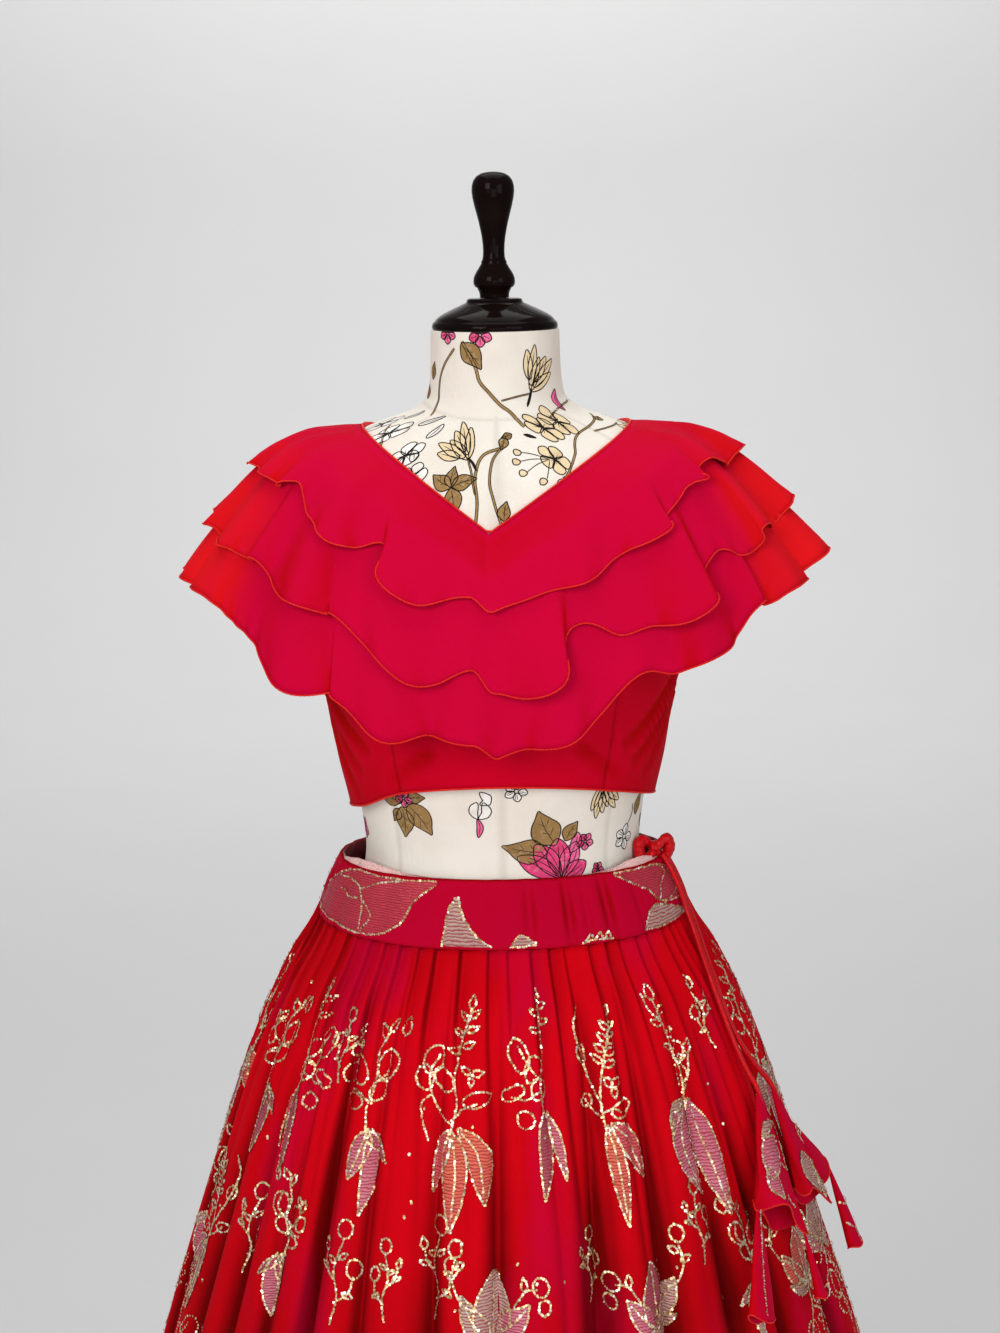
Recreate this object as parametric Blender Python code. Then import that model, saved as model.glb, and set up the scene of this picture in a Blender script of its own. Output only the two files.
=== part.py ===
"""Lehenga and choli, worn on a limbless dress form with a round stand.

Metres, +Z up. The origin is the centre of the stand's underside and the front faces -Y.
Every cloth piece is a closed wall swept through sections, which are worked out from the tables below.
An azimuth is measured in degrees from the front: 90 is the side at +X and 180 is the back.
"""

import math
from collections import namedtuple

import bpy
from mathutils import Vector

MM = 0.001

# Driving heights
BAND_TOP = 1034.5 * MM
BAND_BOTTOM = 987 * MM
SHOULDER = 1401.5 * MM
V_BOTTOM = 1322 * MM
V_ASIDE = -7 * MM
BACK_NECK = 1368 * MM
NECK_TOP = 1479 * MM
FORM_BOTTOM = 800 * MM
FINIAL_TOP = 1606 * MM

# Cloth and clearances
SEAM_GAP = 0.3 * MM
BODICE_WALL = 1.4 * MM
SKIRT_WALL = 1.4 * MM
RUFFLE_WALL = 1.0 * MM
BAND_WALL = 1.6 * MM
LINING_WALL = 0.8 * MM
TASSEL_WALL = 1.2 * MM
NECK_HALF_WIDTH = 114 * MM

# The stand
BASE_RADIUS = 190 * MM
BASE_THICK = 12 * MM
BOSS_RADIUS = 32 * MM
BOSS_TOP = 34 * MM
POLE_RADIUS = 16 * MM

# Pleats of the skirt at the band, which run together into fewer folds towards the hem
PLEATS = 76
PLEAT_VALLEY = 0.36
PLEAT_DEPTH = 4.2 * MM
PLEAT_FADE = 330 * MM
FOLDS = 25
FOLD_DEPTH = 58 * MM

Section = namedtuple("Section", "height half_width front back squareness")

# The dress form, from its flat bottom to the top of its neck, in millimetres
FORM = [
    Section(800, 168, 108, 117, 2.3),
    Section(830, 169, 110, 118, 2.3),
    Section(880, 164, 109, 114, 2.3),
    Section(930, 152, 104, 104, 2.3),
    Section(980, 135, 97, 90, 2.25),
    Section(1020, 120, 90, 80, 2.2),
    Section(1045, 117.5, 89, 77, 2.2),
    Section(1080, 121, 95, 80, 2.2),
    Section(1130, 133, 106, 88, 2.25),
    Section(1180, 143, 118, 96, 2.3),
    Section(1230, 153, 119, 101, 2.35),
    Section(1270, 164, 112, 103, 2.35),
    Section(1310, 175, 102, 101, 2.3),
    Section(1340, 177, 92, 97, 2.25),
    Section(1360, 172, 82, 92, 2.2),
    Section(1375, 160, 73, 86, 2.1),
    Section(1388, 139, 66, 80, 2.0),
    Section(1398, 114, 60, 73, 2.0),
    Section(1406, 92, 56, 68, 2.0),
    Section(1414, 70, 53, 63, 2.0),
    Section(1426, 57, 51, 59, 2.0),
    Section(1445, 54, 51, 55, 2.0),
    Section(1479, 53, 53, 51, 2.0),
]

FORM_ROWS = (
    800, 900, 960, 1005, 1036, 1065, 1100, 1135, 1165, 1195, 1225, 1268, 1310, 1345, 1370,
    1388, 1399, 1408, 1418, 1440, 1479,
)

# The bust, as a smooth swelling either side of the front
BUST_HEIGHT = 1212 * MM
BUST_SIDE = 72 * MM
BUST_WIDTH = 46 * MM
BUST_TALL = 50 * MM
BUST_OUT = 14 * MM

# The fall lines, which run down a surface from the neckline
FALL_STEP = 1.5 * MM
FALL_LENGTH = 240 * MM
NECKLINE_LOWEST = 1300 * MM
NECKLINE_HIGHEST = 1412 * MM

# The bell on which the ruffles hang, clear of the form and the bodice
BELL = [
    Section(1040, 276, 148, 142, 2.15),
    Section(1130, 274, 147, 140, 2.15),
    Section(1170, 272, 146, 137, 2.15),
    Section(1210, 270, 143, 133, 2.15),
    Section(1240, 266, 137, 128, 2.15),
    Section(1270, 256, 128, 122, 2.15),
    Section(1300, 238, 117, 115, 2.2),
    Section(1330, 217, 104, 108, 2.25),
    Section(1355, 198, 92, 101, 2.25),
    Section(1375, 178, 80, 93, 2.15),
    Section(1388, 155, 72, 86, 2.05),
    Section(1397, 130, 66, 80, 2.0),
    Section(1404, 108, 61, 74, 2.0),
    Section(1412, 84, 57, 68, 2.0),
]

# The waistband's outside, which touches the form only at its front and back
BAND = [
    Section(987, 160.5, 131, 128, 2.15),
    Section(1008, 153, 115, 110, 2.15),
    Section(1034.5, 140, 93.2, 82.0, 2.15),
]
BAND_ROWS = (1034.5, 1021, 1004, 987)
LINING_ROWS = (1033.3, 1021, 1004, 989)
LINING_GAP = 0.9 * MM
LINING_RISE = 5 * MM
LINING_SHOWS = ((-46, 14), (50, 10))

# The crests of the skirt's folds, from the hem to the band
SKIRT = [
    Section(20, 450, 428, 430, 2.0),
    Section(200, 412, 391, 394, 2.0),
    Section(400, 365, 343, 347, 2.0),
    Section(585, 315, 291, 295, 2.0),
    Section(666, 290, 266, 270, 2.0),
    Section(749, 263, 239, 243, 2.05),
    Section(864, 224, 199, 204, 2.1),
    Section(942, 188, 161, 164, 2.15),
    Section(970, 170, 141, 141, 2.15),
    Section(986.7, 161.5, 132, 129, 2.15),
]
SKIRT_ROWS = (986.7, 955, 880, 740, 520, 250, 20)

Flute = namedtuple("Flute", "azimuth spread out drop")
Tier = namedtuple("Tier", "name front side back flutes")

# Each tier's length down from the neckline at the front, side and back, and its flutes: where
# each is, half its width in degrees, how far it stands out, and how far its hem drops.
# The tiers are in the order in which they lie on each other.
TIERS = [
    Tier("ruffle_bottom", 190, 192, 188, [
        Flute(-171, 7, 13, 4), Flute(-153, 7, 16, 6), Flute(-135, 7, 12, -4),
        Flute(-117, 6, 18, 5), Flute(-99, 6, 16, 4), Flute(-81, 6, 14, 4),
        Flute(-63, 6, 11, -3), Flute(-36, 6, 13, 20), Flute(-18, 5, 11, 21),
        Flute(-4.5, 4, 7, 8), Flute(9, 4, 9, 10), Flute(22.5, 5, 4, -17),
        Flute(36, 5, 12, 1), Flute(49.5, 5, 4, -15), Flute(63, 5, 13, -2),
        Flute(85.5, 7, 29, -2), Flute(103.5, 6, 17, 5), Flute(121.5, 6, 14, -4),
        Flute(139.5, 7, 16, 5), Flute(157.5, 7, 13, -4),
    ]),
    Tier("ruffle_middle", 140, 146, 138, [
        Flute(-162, 8, 9, 4), Flute(-144, 7, 12, -4), Flute(-121.5, 7, 10, 5),
        Flute(-103.5, 6, 9, -3), Flute(-85.5, 6, 8, 5), Flute(-67.5, 5, 6, 6),
        Flute(-49.5, 4, 2, -10), Flute(-36, 5, 8, 3), Flute(-27, 3, 1, -9),
        Flute(-13.5, 6, 7, 18), Flute(4.5, 4, 8, 12), Flute(13.5, 4, 2, -24),
        Flute(31.5, 5, 10, 13), Flute(45, 5, 2, -20), Flute(63, 6, 8, -8),
        Flute(90, 8, 8, -8), Flute(112.5, 7, 9, 4), Flute(135, 7, 11, -3),
        Flute(157.5, 8, 9, 4),
    ]),
    Tier("ruffle_top", 78, 84, 76, [
        Flute(-157.5, 9, 6, 3), Flute(-130.5, 8, 8, -3), Flute(-108, 7, 6, 3),
        Flute(-85.5, 8, 5, 7), Flute(-67.5, 6, 6, 3), Flute(-49.5, 5, 2, -16),
        Flute(-31.5, 4, 8, 7), Flute(-22.5, 3, 1, -12), Flute(-13.5, 5, 5, 24),
        Flute(0, 5, 3, -12), Flute(13.5, 4, 6, 8), Flute(27, 4, 5, 3),
        Flute(45, 7, 2, -14), Flute(58.5, 6, 4, -15), Flute(85.5, 8, 4, 0),
        Flute(108, 7, 6, 4), Flute(130.5, 8, 8, -3), Flute(157.5, 9, 6, 3),
    ]),
]
RUFFLE_COLUMNS = 80
RUFFLE_ROWS = (0.5, 30, 55, 90, 140)
LAST_ROW_SHARE = 0.8
TIER_GAP_AT_NECK = 1.4 * MM
TIER_GAP = 3.0 * MM
BELL_CLEAR = 2.0 * MM
NECK_BLEND = 45 * MM

# How far the neckline's layers stand off the form: the binding spans them all
BINDING_NEAR = 0.7 * MM
BINDING_FAR = 7.5 * MM
BINDING_HEIGHT = 3.0 * MM
RUFFLE_OFF_FORM = 4.5 * MM

Panel = namedtuple("Panel", "name start end")

# The bodice panels, between seams at these azimuths. The armhole takes one row of the side
# panels, with the straps above it.
PANELS = [
    Panel("choli_front_centre", -36, 36),
    Panel("choli_front_right", 36, 90),
    Panel("choli_back_right", 90, 180),
    Panel("choli_back_left", 180, 270),
    Panel("choli_front_left", 270, 324),
]
BODY_STEP = 9
BODICE_CLEAR_AT_NECK = 1.8 * MM
BODICE_CLEAR = 4.2 * MM
BODICE_ROWS = (1225, 1195, 1165, 1135)
CLEAR_REACH = (12, 36)
STRAP_LEAST = 12 * MM
HEM_EASE = 4.5 * MM
HEM_EASE_TOP = 1200 * MM
HEM_EASE_TALL = 120 * MM
HEM_SIDE = 1080 * MM
HEM_RISE = 31 * MM
ARMHOLE_HALF = 36
ARMHOLE_MIDDLE = 1310 * MM
ARMHOLE_HALF_HEIGHT = 61 * MM
ARMHOLE_END_HEIGHT = 15 * MM
STRAP_ROWS = (0.72, 0.4)

# The drawstring's two ends, which hang side by side: azimuth and height on the band or the
# skirt, and how far each point lies off it
CORD_RADIUS = 2.2 * MM
CORD_STEP = 12 * MM
KNOT_AZIMUTH = 73
KNOT_HALF_WIDTH = 14 * MM
KNOT_HALF_HEIGHT = 8 * MM
KNOT_HALF_DEPTH = 2.6 * MM
KNOT_POINTS = 28
CordPoint = namedtuple("CordPoint", "azimuth height lift")
CORD_FRONT = [
    CordPoint(71.4, 1036.8, 2.8), CordPoint(71.4, 1033, 4), CordPoint(71.4, 1024, 4.6),
    CordPoint(71.4, 1008, 4.6), CordPoint(71, 992, 4.6), CordPoint(69, 976, 4.6),
    CordPoint(66, 960, 4.6), CordPoint(62.5, 940, 4.6), CordPoint(61, 920, 4.6),
    CordPoint(60.3, 892, 5), CordPoint(60, 868, 8), CordPoint(60, 850, 12),
]
CORD_BACK = [
    CordPoint(74.8, 1039.2, 1.2), CordPoint(74.8, 1034, 3.4), CordPoint(74.8, 1024, 4.6),
    CordPoint(74.6, 1008, 4.6), CordPoint(74, 992, 4.6), CordPoint(71.6, 976, 4.6),
    CordPoint(68, 960, 4.6), CordPoint(64.3, 940, 4.6), CordPoint(62.75, 920, 4.6),
    CordPoint(62.6, 892, 5), CordPoint(64.4, 868, 8), CordPoint(67, 846, 12),
]

Bell = namedtuple("Bell", "name cord turn length wide deep")
Cone = namedtuple("Cone", "name host share side turn length wide deep")

# The cloth tassels: two bells on the cords' ends, and cones that hang from them. Turns are in
# degrees, sizes in mm, and share and side say where on its host a cone hangs.
BELLS = [
    Bell("tassel_bell_front", "tie_cord_front", 3, 106, 66, 24),
    Bell("tassel_bell_back", "tie_cord_back", -10, 108, 44, 20),
]
CONES = [
    Cone("tassel_cone_front_low", "tassel_bell_front", 1.0, 160, 12, 90, 36, 13),
    Cone("tassel_cone_front_slim", "tassel_bell_front", 1.0, 10, 2, 56, 14, 9),
    Cone("tassel_cone_back_high", "tassel_bell_back", 0.25, 0, -34, 64, 26, 12),
    Cone("tassel_cone_back_low", "tassel_cone_back_high", 1.0, 60, -8, 66, 20, 11),
]
TASSEL_GAP = 0.4 * MM
TASSEL_SLOPE_AT = (60, 760, 700)


class Profile:
    """A smooth profile through a table's rows, read at any height in metres."""

    def __init__(self, rows):
        ordered = sorted(rows, key=lambda row: row.height)
        self.heights = [row.height * MM for row in ordered]
        scales = (MM, MM, MM, 1.0)
        self.columns = [
            [value * scale for value in column]
            for column, scale in zip(zip(*[row[1:] for row in ordered]), scales)
        ]
        self.slopes = [self.slopes_of(column) for column in self.columns]

    def slopes_of(self, column):
        """Slopes that keep each stretch between two rows free of overshoot."""
        steps = [b - a for a, b in zip(self.heights, self.heights[1:])]
        rises = [(b - a) / step for a, b, step in zip(column, column[1:], steps)]
        slopes = [rises[0]]
        for left, right in zip(rises, rises[1:]):
            slopes.append(2 * left * right / (left + right) if left * right > 0 else 0.0)
        return slopes + [rises[-1]]

    def at(self, height):
        """(half width, front, back, squareness) at a height."""
        height = min(max(height, self.heights[0]), self.heights[-1])
        i = 0
        while i < len(self.heights) - 2 and height > self.heights[i + 1]:
            i += 1
        step = self.heights[i + 1] - self.heights[i]
        t = (height - self.heights[i]) / step
        ease_in = t * t * (3 - 2 * t)
        values = []
        for column, slopes in zip(self.columns, self.slopes):
            bend = slopes[i] * (t - 2 * t * t + t**3) + slopes[i + 1] * (t**3 - t * t)
            values.append(column[i] * (1 - ease_in) + column[i + 1] * ease_in + bend * step)
        return values

    def point(self, azimuth, height):
        """The point of this profile's surface at an azimuth in degrees and a height."""
        half_width, front, back, squareness = self.at(height)
        angle = math.radians(azimuth)
        side, ahead = math.sin(angle), math.cos(angle)
        power = 2 / squareness
        depth = front if ahead > 0 else back
        x = math.copysign(half_width * abs(side) ** power, side)
        y = -math.copysign(depth * abs(ahead) ** power, ahead)
        return Vector((x, y, height))

    def outward(self, azimuth, height):
        """The surface's outward direction there, from points close by."""
        around = self.point(azimuth + 0.5, height) - self.point(azimuth - 0.5, height)
        along = self.point(azimuth, height + 2 * MM) - self.point(azimuth, height - 2 * MM)
        return around.cross(along).normalized()


class FormProfile(Profile):
    """The dress form, with its bust."""

    def point(self, azimuth, height):
        place = super().point(azimuth, height)
        ahead = math.cos(math.radians(azimuth))
        if ahead > 0:
            tall = math.exp(-(((height - BUST_HEIGHT) / BUST_TALL) ** 2))
            wide = sum(
                math.exp(-(((place.x - side * BUST_SIDE) / BUST_WIDTH) ** 2))
                for side in (-1, 1)
            )
            place.y -= BUST_OUT * tall * wide * min(1.0, 3 * ahead)
        return place


form = FormProfile(FORM)
bell = Profile(BELL)
band = Profile(BAND)
skirt = Profile(SKIRT)


def neckline_height(surface, azimuth):
    """Where the neckline crosses a surface: a straight V in front, a shallow curve behind."""
    ahead = math.cos(math.radians(azimuth))

    def line(x):
        if ahead >= 0:
            reach = NECK_HALF_WIDTH - math.copysign(V_ASIDE, V_ASIDE - x)
            return V_BOTTOM + (SHOULDER - V_BOTTOM) * min(1.0, abs(x - V_ASIDE) / reach)
        return BACK_NECK + (SHOULDER - BACK_NECK) * min(1.0, abs(x) / NECK_HALF_WIDTH) ** 1.6

    low, high = NECKLINE_LOWEST, NECKLINE_HIGHEST
    for _ in range(40):
        middle = (low + high) / 2
        if middle < line(surface.point(azimuth, middle).x):
            low = middle
        else:
            high = middle
    return low


def fall_line(surface, azimuth):
    """(distance down, place, outward) every few mm down a surface from the neckline."""
    height = neckline_height(surface, azimuth)
    place = surface.point(azimuth, height)
    line = [(0.0, place, surface.outward(azimuth, height))]
    while line[-1][0] < FALL_LENGTH:
        height -= FALL_STEP
        place = surface.point(azimuth, height)
        distance = line[-1][0] + (place - line[-1][1]).length
        line.append((distance, place, surface.outward(azimuth, height)))
    return line


def along_fall(line, distance):
    """(place, outward) at a distance down a fall line."""
    for (near, above, out_above), (far, below, out_below) in zip(line, line[1:]):
        if far >= distance:
            t = (distance - near) / (far - near)
            return above.lerp(below, t), out_above.lerp(out_below, t).normalized()
    return line[-1][1], line[-1][2]


def smooth_step(t):
    t = min(max(t, 0.0), 1.0)
    return t * t * (3 - 2 * t)


def turn_between(a, b):
    """The angle from b to a in degrees, between -180 and 180."""
    return (a - b + 180) % 360 - 180


def bump(azimuth, centre, spread):
    """A smooth bump round an azimuth, 1 at its centre."""
    return math.exp(-((turn_between(azimuth, centre) / spread) ** 2))


def tier_length(tier, azimuth):
    """How long a tier is at an azimuth, with the drops of its flutes."""
    ahead = math.cos(math.radians(azimuth))
    end = tier.front if ahead > 0 else tier.back
    length = tier.side + (end - tier.side) * ahead**2
    length += sum(f.drop * bump(azimuth, f.azimuth, f.spread) for f in tier.flutes)
    return length * MM


def tier_offset(index, azimuth, distance):
    """How far tier number index stands off the bell: its own flutes over those beneath it."""
    offset = 0.0
    gap = TIER_GAP_AT_NECK + (TIER_GAP - TIER_GAP_AT_NECK) * smooth_step(distance / NECK_BLEND)
    for number, tier in enumerate(TIERS[: index + 1]):
        share = min(1.0, distance / tier_length(tier, azimuth))
        wave = sum(f.out * bump(azimuth, f.azimuth, f.spread) for f in tier.flutes)
        offset += wave * MM * share**1.5 + (gap if number else 0.0)
    return offset


def ruffle_grid(index):
    """The outer points of a tier, row by row from the neckline to the hem."""
    tier = TIERS[index]
    shortest = min(tier_length(tier, 360 * j / RUFFLE_COLUMNS) for j in range(RUFFLE_COLUMNS))
    fixed = [d * MM for d in RUFFLE_ROWS if d * MM < LAST_ROW_SHARE * shortest + 5 * MM]
    rows = [[] for _ in range(len(fixed) + 1)]
    for j in range(RUFFLE_COLUMNS):
        azimuth = 360 * j / RUFFLE_COLUMNS - 180
        on_bell, on_form = fall_line(bell, azimuth), fall_line(form, azimuth)
        for row, distance in zip(rows, fixed + [tier_length(tier, azimuth)]):
            place, out = along_fall(on_bell, distance)
            near, near_out = along_fall(on_form, distance)
            blend = smooth_step(distance / NECK_BLEND)
            place = (near + near_out * RUFFLE_OFF_FORM).lerp(place + out * BELL_CLEAR, blend)
            out = near_out.lerp(out, blend).normalized()
            row.append(place + out * tier_offset(index, azimuth, distance))
    return rows


def skirt_point(pleat, height):
    """A point of the skirt's outside. The pleat number may be a fraction, from 0 at the back."""
    azimuth = 360 * pleat / PLEATS - 180
    place = skirt.point(azimuth, height)
    out = skirt.outward(azimuth, height)
    out.z = 0.0
    out.normalize()
    part_way = pleat % 1.0
    if part_way < PLEAT_VALLEY:
        inward = part_way / PLEAT_VALLEY
    else:
        inward = (1 - part_way) / (1 - PLEAT_VALLEY)
    down = skirt.heights[-1] - height
    pleat_depth = PLEAT_DEPTH * max(0.0, 1 - down / PLEAT_FADE) ** 0.8
    turn = math.radians(azimuth)
    fold = FOLDS * pleat / PLEATS + 0.16 * math.sin(3 * turn + 0.6) + 0.1 * math.sin(7 * turn + 2.1)
    valley = 1 - abs(math.cos(math.pi * fold)) ** 0.8
    uneven = 0.78 + 0.22 * math.sin(4 * turn + 1.0) * math.cos(9 * turn)
    share = down / (skirt.heights[-1] - skirt.heights[0])
    return place - out * (pleat_depth * inward + FOLD_DEPTH * uneven * share**0.9 * valley)


def bodice_hem(azimuth):
    """The height of the bodice's hem, which rises at the front."""
    ahead = max(0.0, math.cos(math.radians(azimuth)))
    return HEM_SIDE + HEM_RISE * ahead**1.4


def armhole_edge(azimuth, side):
    """The height of the armhole's lower edge, side -1, or its upper edge, side 1."""
    away = min(1.0, abs(abs(turn_between(azimuth, 0)) - 90) / ARMHOLE_HALF)
    half = ARMHOLE_END_HEIGHT + (ARMHOLE_HALF_HEIGHT - ARMHOLE_END_HEIGHT) * (1 - away**2)
    return ARMHOLE_MIDDLE + side * half


def bodice_point(azimuth, height, top, wall):
    """A point of the bodice, a wall's thickness off its inside, eased off the form at the hem."""
    side_reach, end_reach = CLEAR_REACH
    ahead = abs(math.cos(math.radians(azimuth)))
    reach = (side_reach + (end_reach - side_reach) * ahead) * MM
    grown = smooth_step((top - height) / reach)
    clear = BODICE_CLEAR_AT_NECK + (BODICE_CLEAR - BODICE_CLEAR_AT_NECK) * grown
    ease = HEM_EASE * smooth_step((HEM_EASE_TOP - height) / HEM_EASE_TALL)
    out = form.outward(azimuth, height)
    return form.point(azimuth, height) + out * (clear + ease + wall)


def material(name, color, roughness, metallic=0.0):
    """A plain Principled material."""
    made = bpy.data.materials.get(name) or bpy.data.materials.new(name)
    made.use_nodes = True
    shader = made.node_tree.nodes["Principled BSDF"]
    shader.inputs["Base Color"].default_value = (*color, 1.0)
    shader.inputs["Roughness"].default_value = roughness
    shader.inputs["Metallic"].default_value = metallic
    return made


RED_CLOTH = material("red_georgette", (0.60, 0.005, 0.03), 0.75)
RED_TRIM = material("red_piping", (0.75, 0.02, 0.01), 0.6)
WHITE_COTTON = material("printed_cotton", (0.86, 0.83, 0.76), 0.85)
LINING_CLOTH = material("lining_net", (0.85, 0.68, 0.66), 0.8)
BLACK_GLOSS = material("black_lacquer", (0.01, 0.008, 0.007), 0.12)
BLACK_METAL = material("black_metal", (0.02, 0.02, 0.02), 0.4, 0.6)


def add_object(name, points, faces, finish):
    """Adds a mesh object with one material."""
    mesh = bpy.data.meshes.new(name)
    mesh.from_pydata([tuple(point) for point in points], [], faces)
    mesh.materials.append(finish)
    mesh.validate()
    made = bpy.data.objects.new(name, mesh)
    bpy.context.scene.collection.objects.link(made)
    return made


def ring_normals(rows, level):
    """Outward directions at the points of a closed ring's rows, which run down."""
    tall, wide = len(rows), len(rows[0])
    normals = []
    for i in range(tall):
        line = []
        for j in range(wide):
            around = rows[i][(j + 1) % wide] - rows[i][j - 1]
            down = rows[min(i + 1, tall - 1)][j] - rows[max(i - 1, 0)][j]
            normal = down.cross(around)
            if level:
                normal.z = 0.0
            line.append(normal.normalized())
        normals.append(line)
    return normals


def both_sides(rows, thickness, level=False):
    """A ring's outer rows and its inner rows, which lie in from them by the thickness."""
    normals = ring_normals(rows, level)
    inner = [
        [point - normal * thickness for point, normal in zip(row, line)]
        for row, line in zip(rows, normals)
    ]
    return rows, inner


def cut_out(rows, first, last):
    """The columns of a ring from first to last, its side edges moved in by half a seam gap."""
    wide = len(rows[0])
    piece = [[row[j % wide] for j in range(first, last + 1)] for row in rows]
    for row in piece:
        left = (row[1] - row[0]).normalized() * SEAM_GAP / 2
        right = (row[-2] - row[-1]).normalized() * SEAM_GAP / 2
        row[0] = row[0] + left
        row[-1] = row[-1] + right
    return piece


def add_wall(name, outer, inner, finish, round_it, is_open=None):
    """A closed wall between two grids of rows. is_open(i, j) says which cells are left out."""
    tall, wide = len(outer), len(outer[0])
    offset = tall * wide
    cells = wide if round_it else wide - 1
    edges, faces = {}, []
    for i in range(tall - 1):
        for j in range(cells):
            if is_open and is_open(i, j):
                continue
            a, b = i * wide + j, i * wide + (j + 1) % wide
            loop = (a, a + wide, b + wide, b)
            faces.append(loop)
            faces.append(tuple(k + offset for k in reversed(loop)))
            for start, stop in zip(loop, loop[1:] + loop[:1]):
                edges[(start, stop)] = True
    for start, stop in edges:
        if (stop, start) not in edges:
            faces.append((start, start + offset, stop + offset, stop))
    used = sorted({k for face in faces for k in face})
    place = {k: number for number, k in enumerate(used)}
    points = [point for row in outer + inner for point in row]
    kept = [tuple(place[k] for k in face) for face in faces]
    return add_object(name, [points[k] for k in used], kept, finish)


def add_turned(name, profile, sides, finish):
    """A solid of revolution about Z from (radius, height) pairs, bottom to top."""
    points, faces = [], []
    for radius, height in profile:
        for j in range(sides):
            turn = 2 * math.pi * j / sides
            points.append(Vector((radius * math.cos(turn), radius * math.sin(turn), height)))
    for i in range(len(profile) - 1):
        for j in range(sides):
            k = (j + 1) % sides
            faces.append((i * sides + j, i * sides + k, (i + 1) * sides + k, (i + 1) * sides + j))
    faces.append(tuple(reversed(range(sides))))
    faces.append(tuple(range((len(profile) - 1) * sides, len(profile) * sides)))
    made = add_object(name, points, faces, finish)
    made.data.shade_smooth()
    made.data.set_sharp_from_angle(angle=math.radians(35))
    return made


def add_form():
    """The dress form: sections from the flat bottom up to the neck, closed at both ends."""
    columns = 360 // BODY_STEP
    points = [
        form.point(BODY_STEP * j - 180, height * MM) for height in FORM_ROWS for j in range(columns)
    ]
    faces = []
    for i in range(len(FORM_ROWS) - 1):
        for j in range(columns):
            k = (j + 1) % columns
            a, b = i * columns + j, i * columns + k
            faces.append((a, b, b + columns, a + columns))
    faces.append(tuple(reversed(range(columns))))
    top = (len(FORM_ROWS) - 1) * columns
    faces.append(tuple(range(top, top + columns)))
    made = add_object("form_torso", points, faces, WHITE_COTTON)
    made.data.shade_smooth()


def add_neck_cap():
    """The turned neck cap and its handle, one screwed on the other."""
    low = NECK_TOP + SEAM_GAP
    cap = [(51.5, 0), (52, 4), (50.5, 8), (45, 12.5), (34, 17.5), (25, 22), (20, 25)]
    add_turned("neck_cap", [(r * MM, low + h * MM) for r, h in cap], 24, BLACK_GLOSS)
    foot = low + 25 * MM + SEAM_GAP
    tall = FINIAL_TOP - foot
    handle = [
        (12, 0), (12, 0.045), (14.5, 0.085), (17, 0.10), (17, 0.16), (14.5, 0.225),
        (11, 0.27), (8.8, 0.32), (8.8, 0.41), (10.5, 0.53), (13.5, 0.65), (16.6, 0.76),
        (17.5, 0.83), (16.5, 0.90), (12.5, 0.96), (6, 0.993), (1, 1.0),
    ]
    add_turned("neck_handle", [(r * MM, foot + h * tall) for r, h in handle], 14, BLACK_GLOSS)


def add_stand():
    """A round base with a boss, and the pole that carries the form."""
    base = [
        (BASE_RADIUS - 2 * MM, 0.0), (BASE_RADIUS, 2 * MM), (BASE_RADIUS, BASE_THICK - 3 * MM),
        (BASE_RADIUS - 6 * MM, BASE_THICK), (BOSS_RADIUS + 6 * MM, BASE_THICK + 2 * MM),
        (BOSS_RADIUS, BASE_THICK + 6 * MM), (BOSS_RADIUS - 4 * MM, BOSS_TOP),
    ]
    add_turned("stand_base", base, 32, BLACK_METAL)
    pole = [(POLE_RADIUS, BOSS_TOP + SEAM_GAP), (POLE_RADIUS, FORM_BOTTOM - SEAM_GAP)]
    add_turned("stand_pole", pole, 16, BLACK_METAL)


def add_bodice():
    """The panels of the choli. The armholes are left out of the side panels."""
    columns = 360 // BODY_STEP
    outer = [[] for _ in range(len(BODICE_ROWS) + len(STRAP_ROWS) + 4)]
    inner = [[] for _ in outer]
    for j in range(columns):
        azimuth = BODY_STEP * j
        top = neckline_height(form, azimuth) - SEAM_GAP
        high, low = armhole_edge(azimuth, 1), armhole_edge(azimuth, -1)
        if high > top - STRAP_LEAST:
            step = (top - BODICE_ROWS[0] * MM) / 5
            high, low = top - 3 * step, top - 4 * step
        heights = [top] + [high + share * (top - high) for share in STRAP_ROWS] + [high, low]
        heights += [height * MM for height in BODICE_ROWS] + [bodice_hem(azimuth)]
        for outer_row, inner_row, height in zip(outer, inner, heights):
            outer_row.append(bodice_point(azimuth, height, top, BODICE_WALL))
            inner_row.append(bodice_point(azimuth, height, top, 0.0))
    for panel in PANELS:
        first, last = panel.start // BODY_STEP, panel.end // BODY_STEP

        def in_armhole(i, j):
            middle = (first + j + 0.5) * BODY_STEP
            return i == len(STRAP_ROWS) + 1 and abs(abs(turn_between(middle, 0)) - 90) < ARMHOLE_HALF

        sides = [cut_out(side, first, last) for side in (outer, inner)]
        add_wall(panel.name, *sides, RED_CLOTH, False, in_armhole)


def add_ruffles():
    """The three tiers, each a closed ring that hangs from the neckline."""
    for index, tier in enumerate(TIERS):
        add_wall(tier.name, *both_sides(ruffle_grid(index), RUFFLE_WALL), RED_CLOTH, True)


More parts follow.
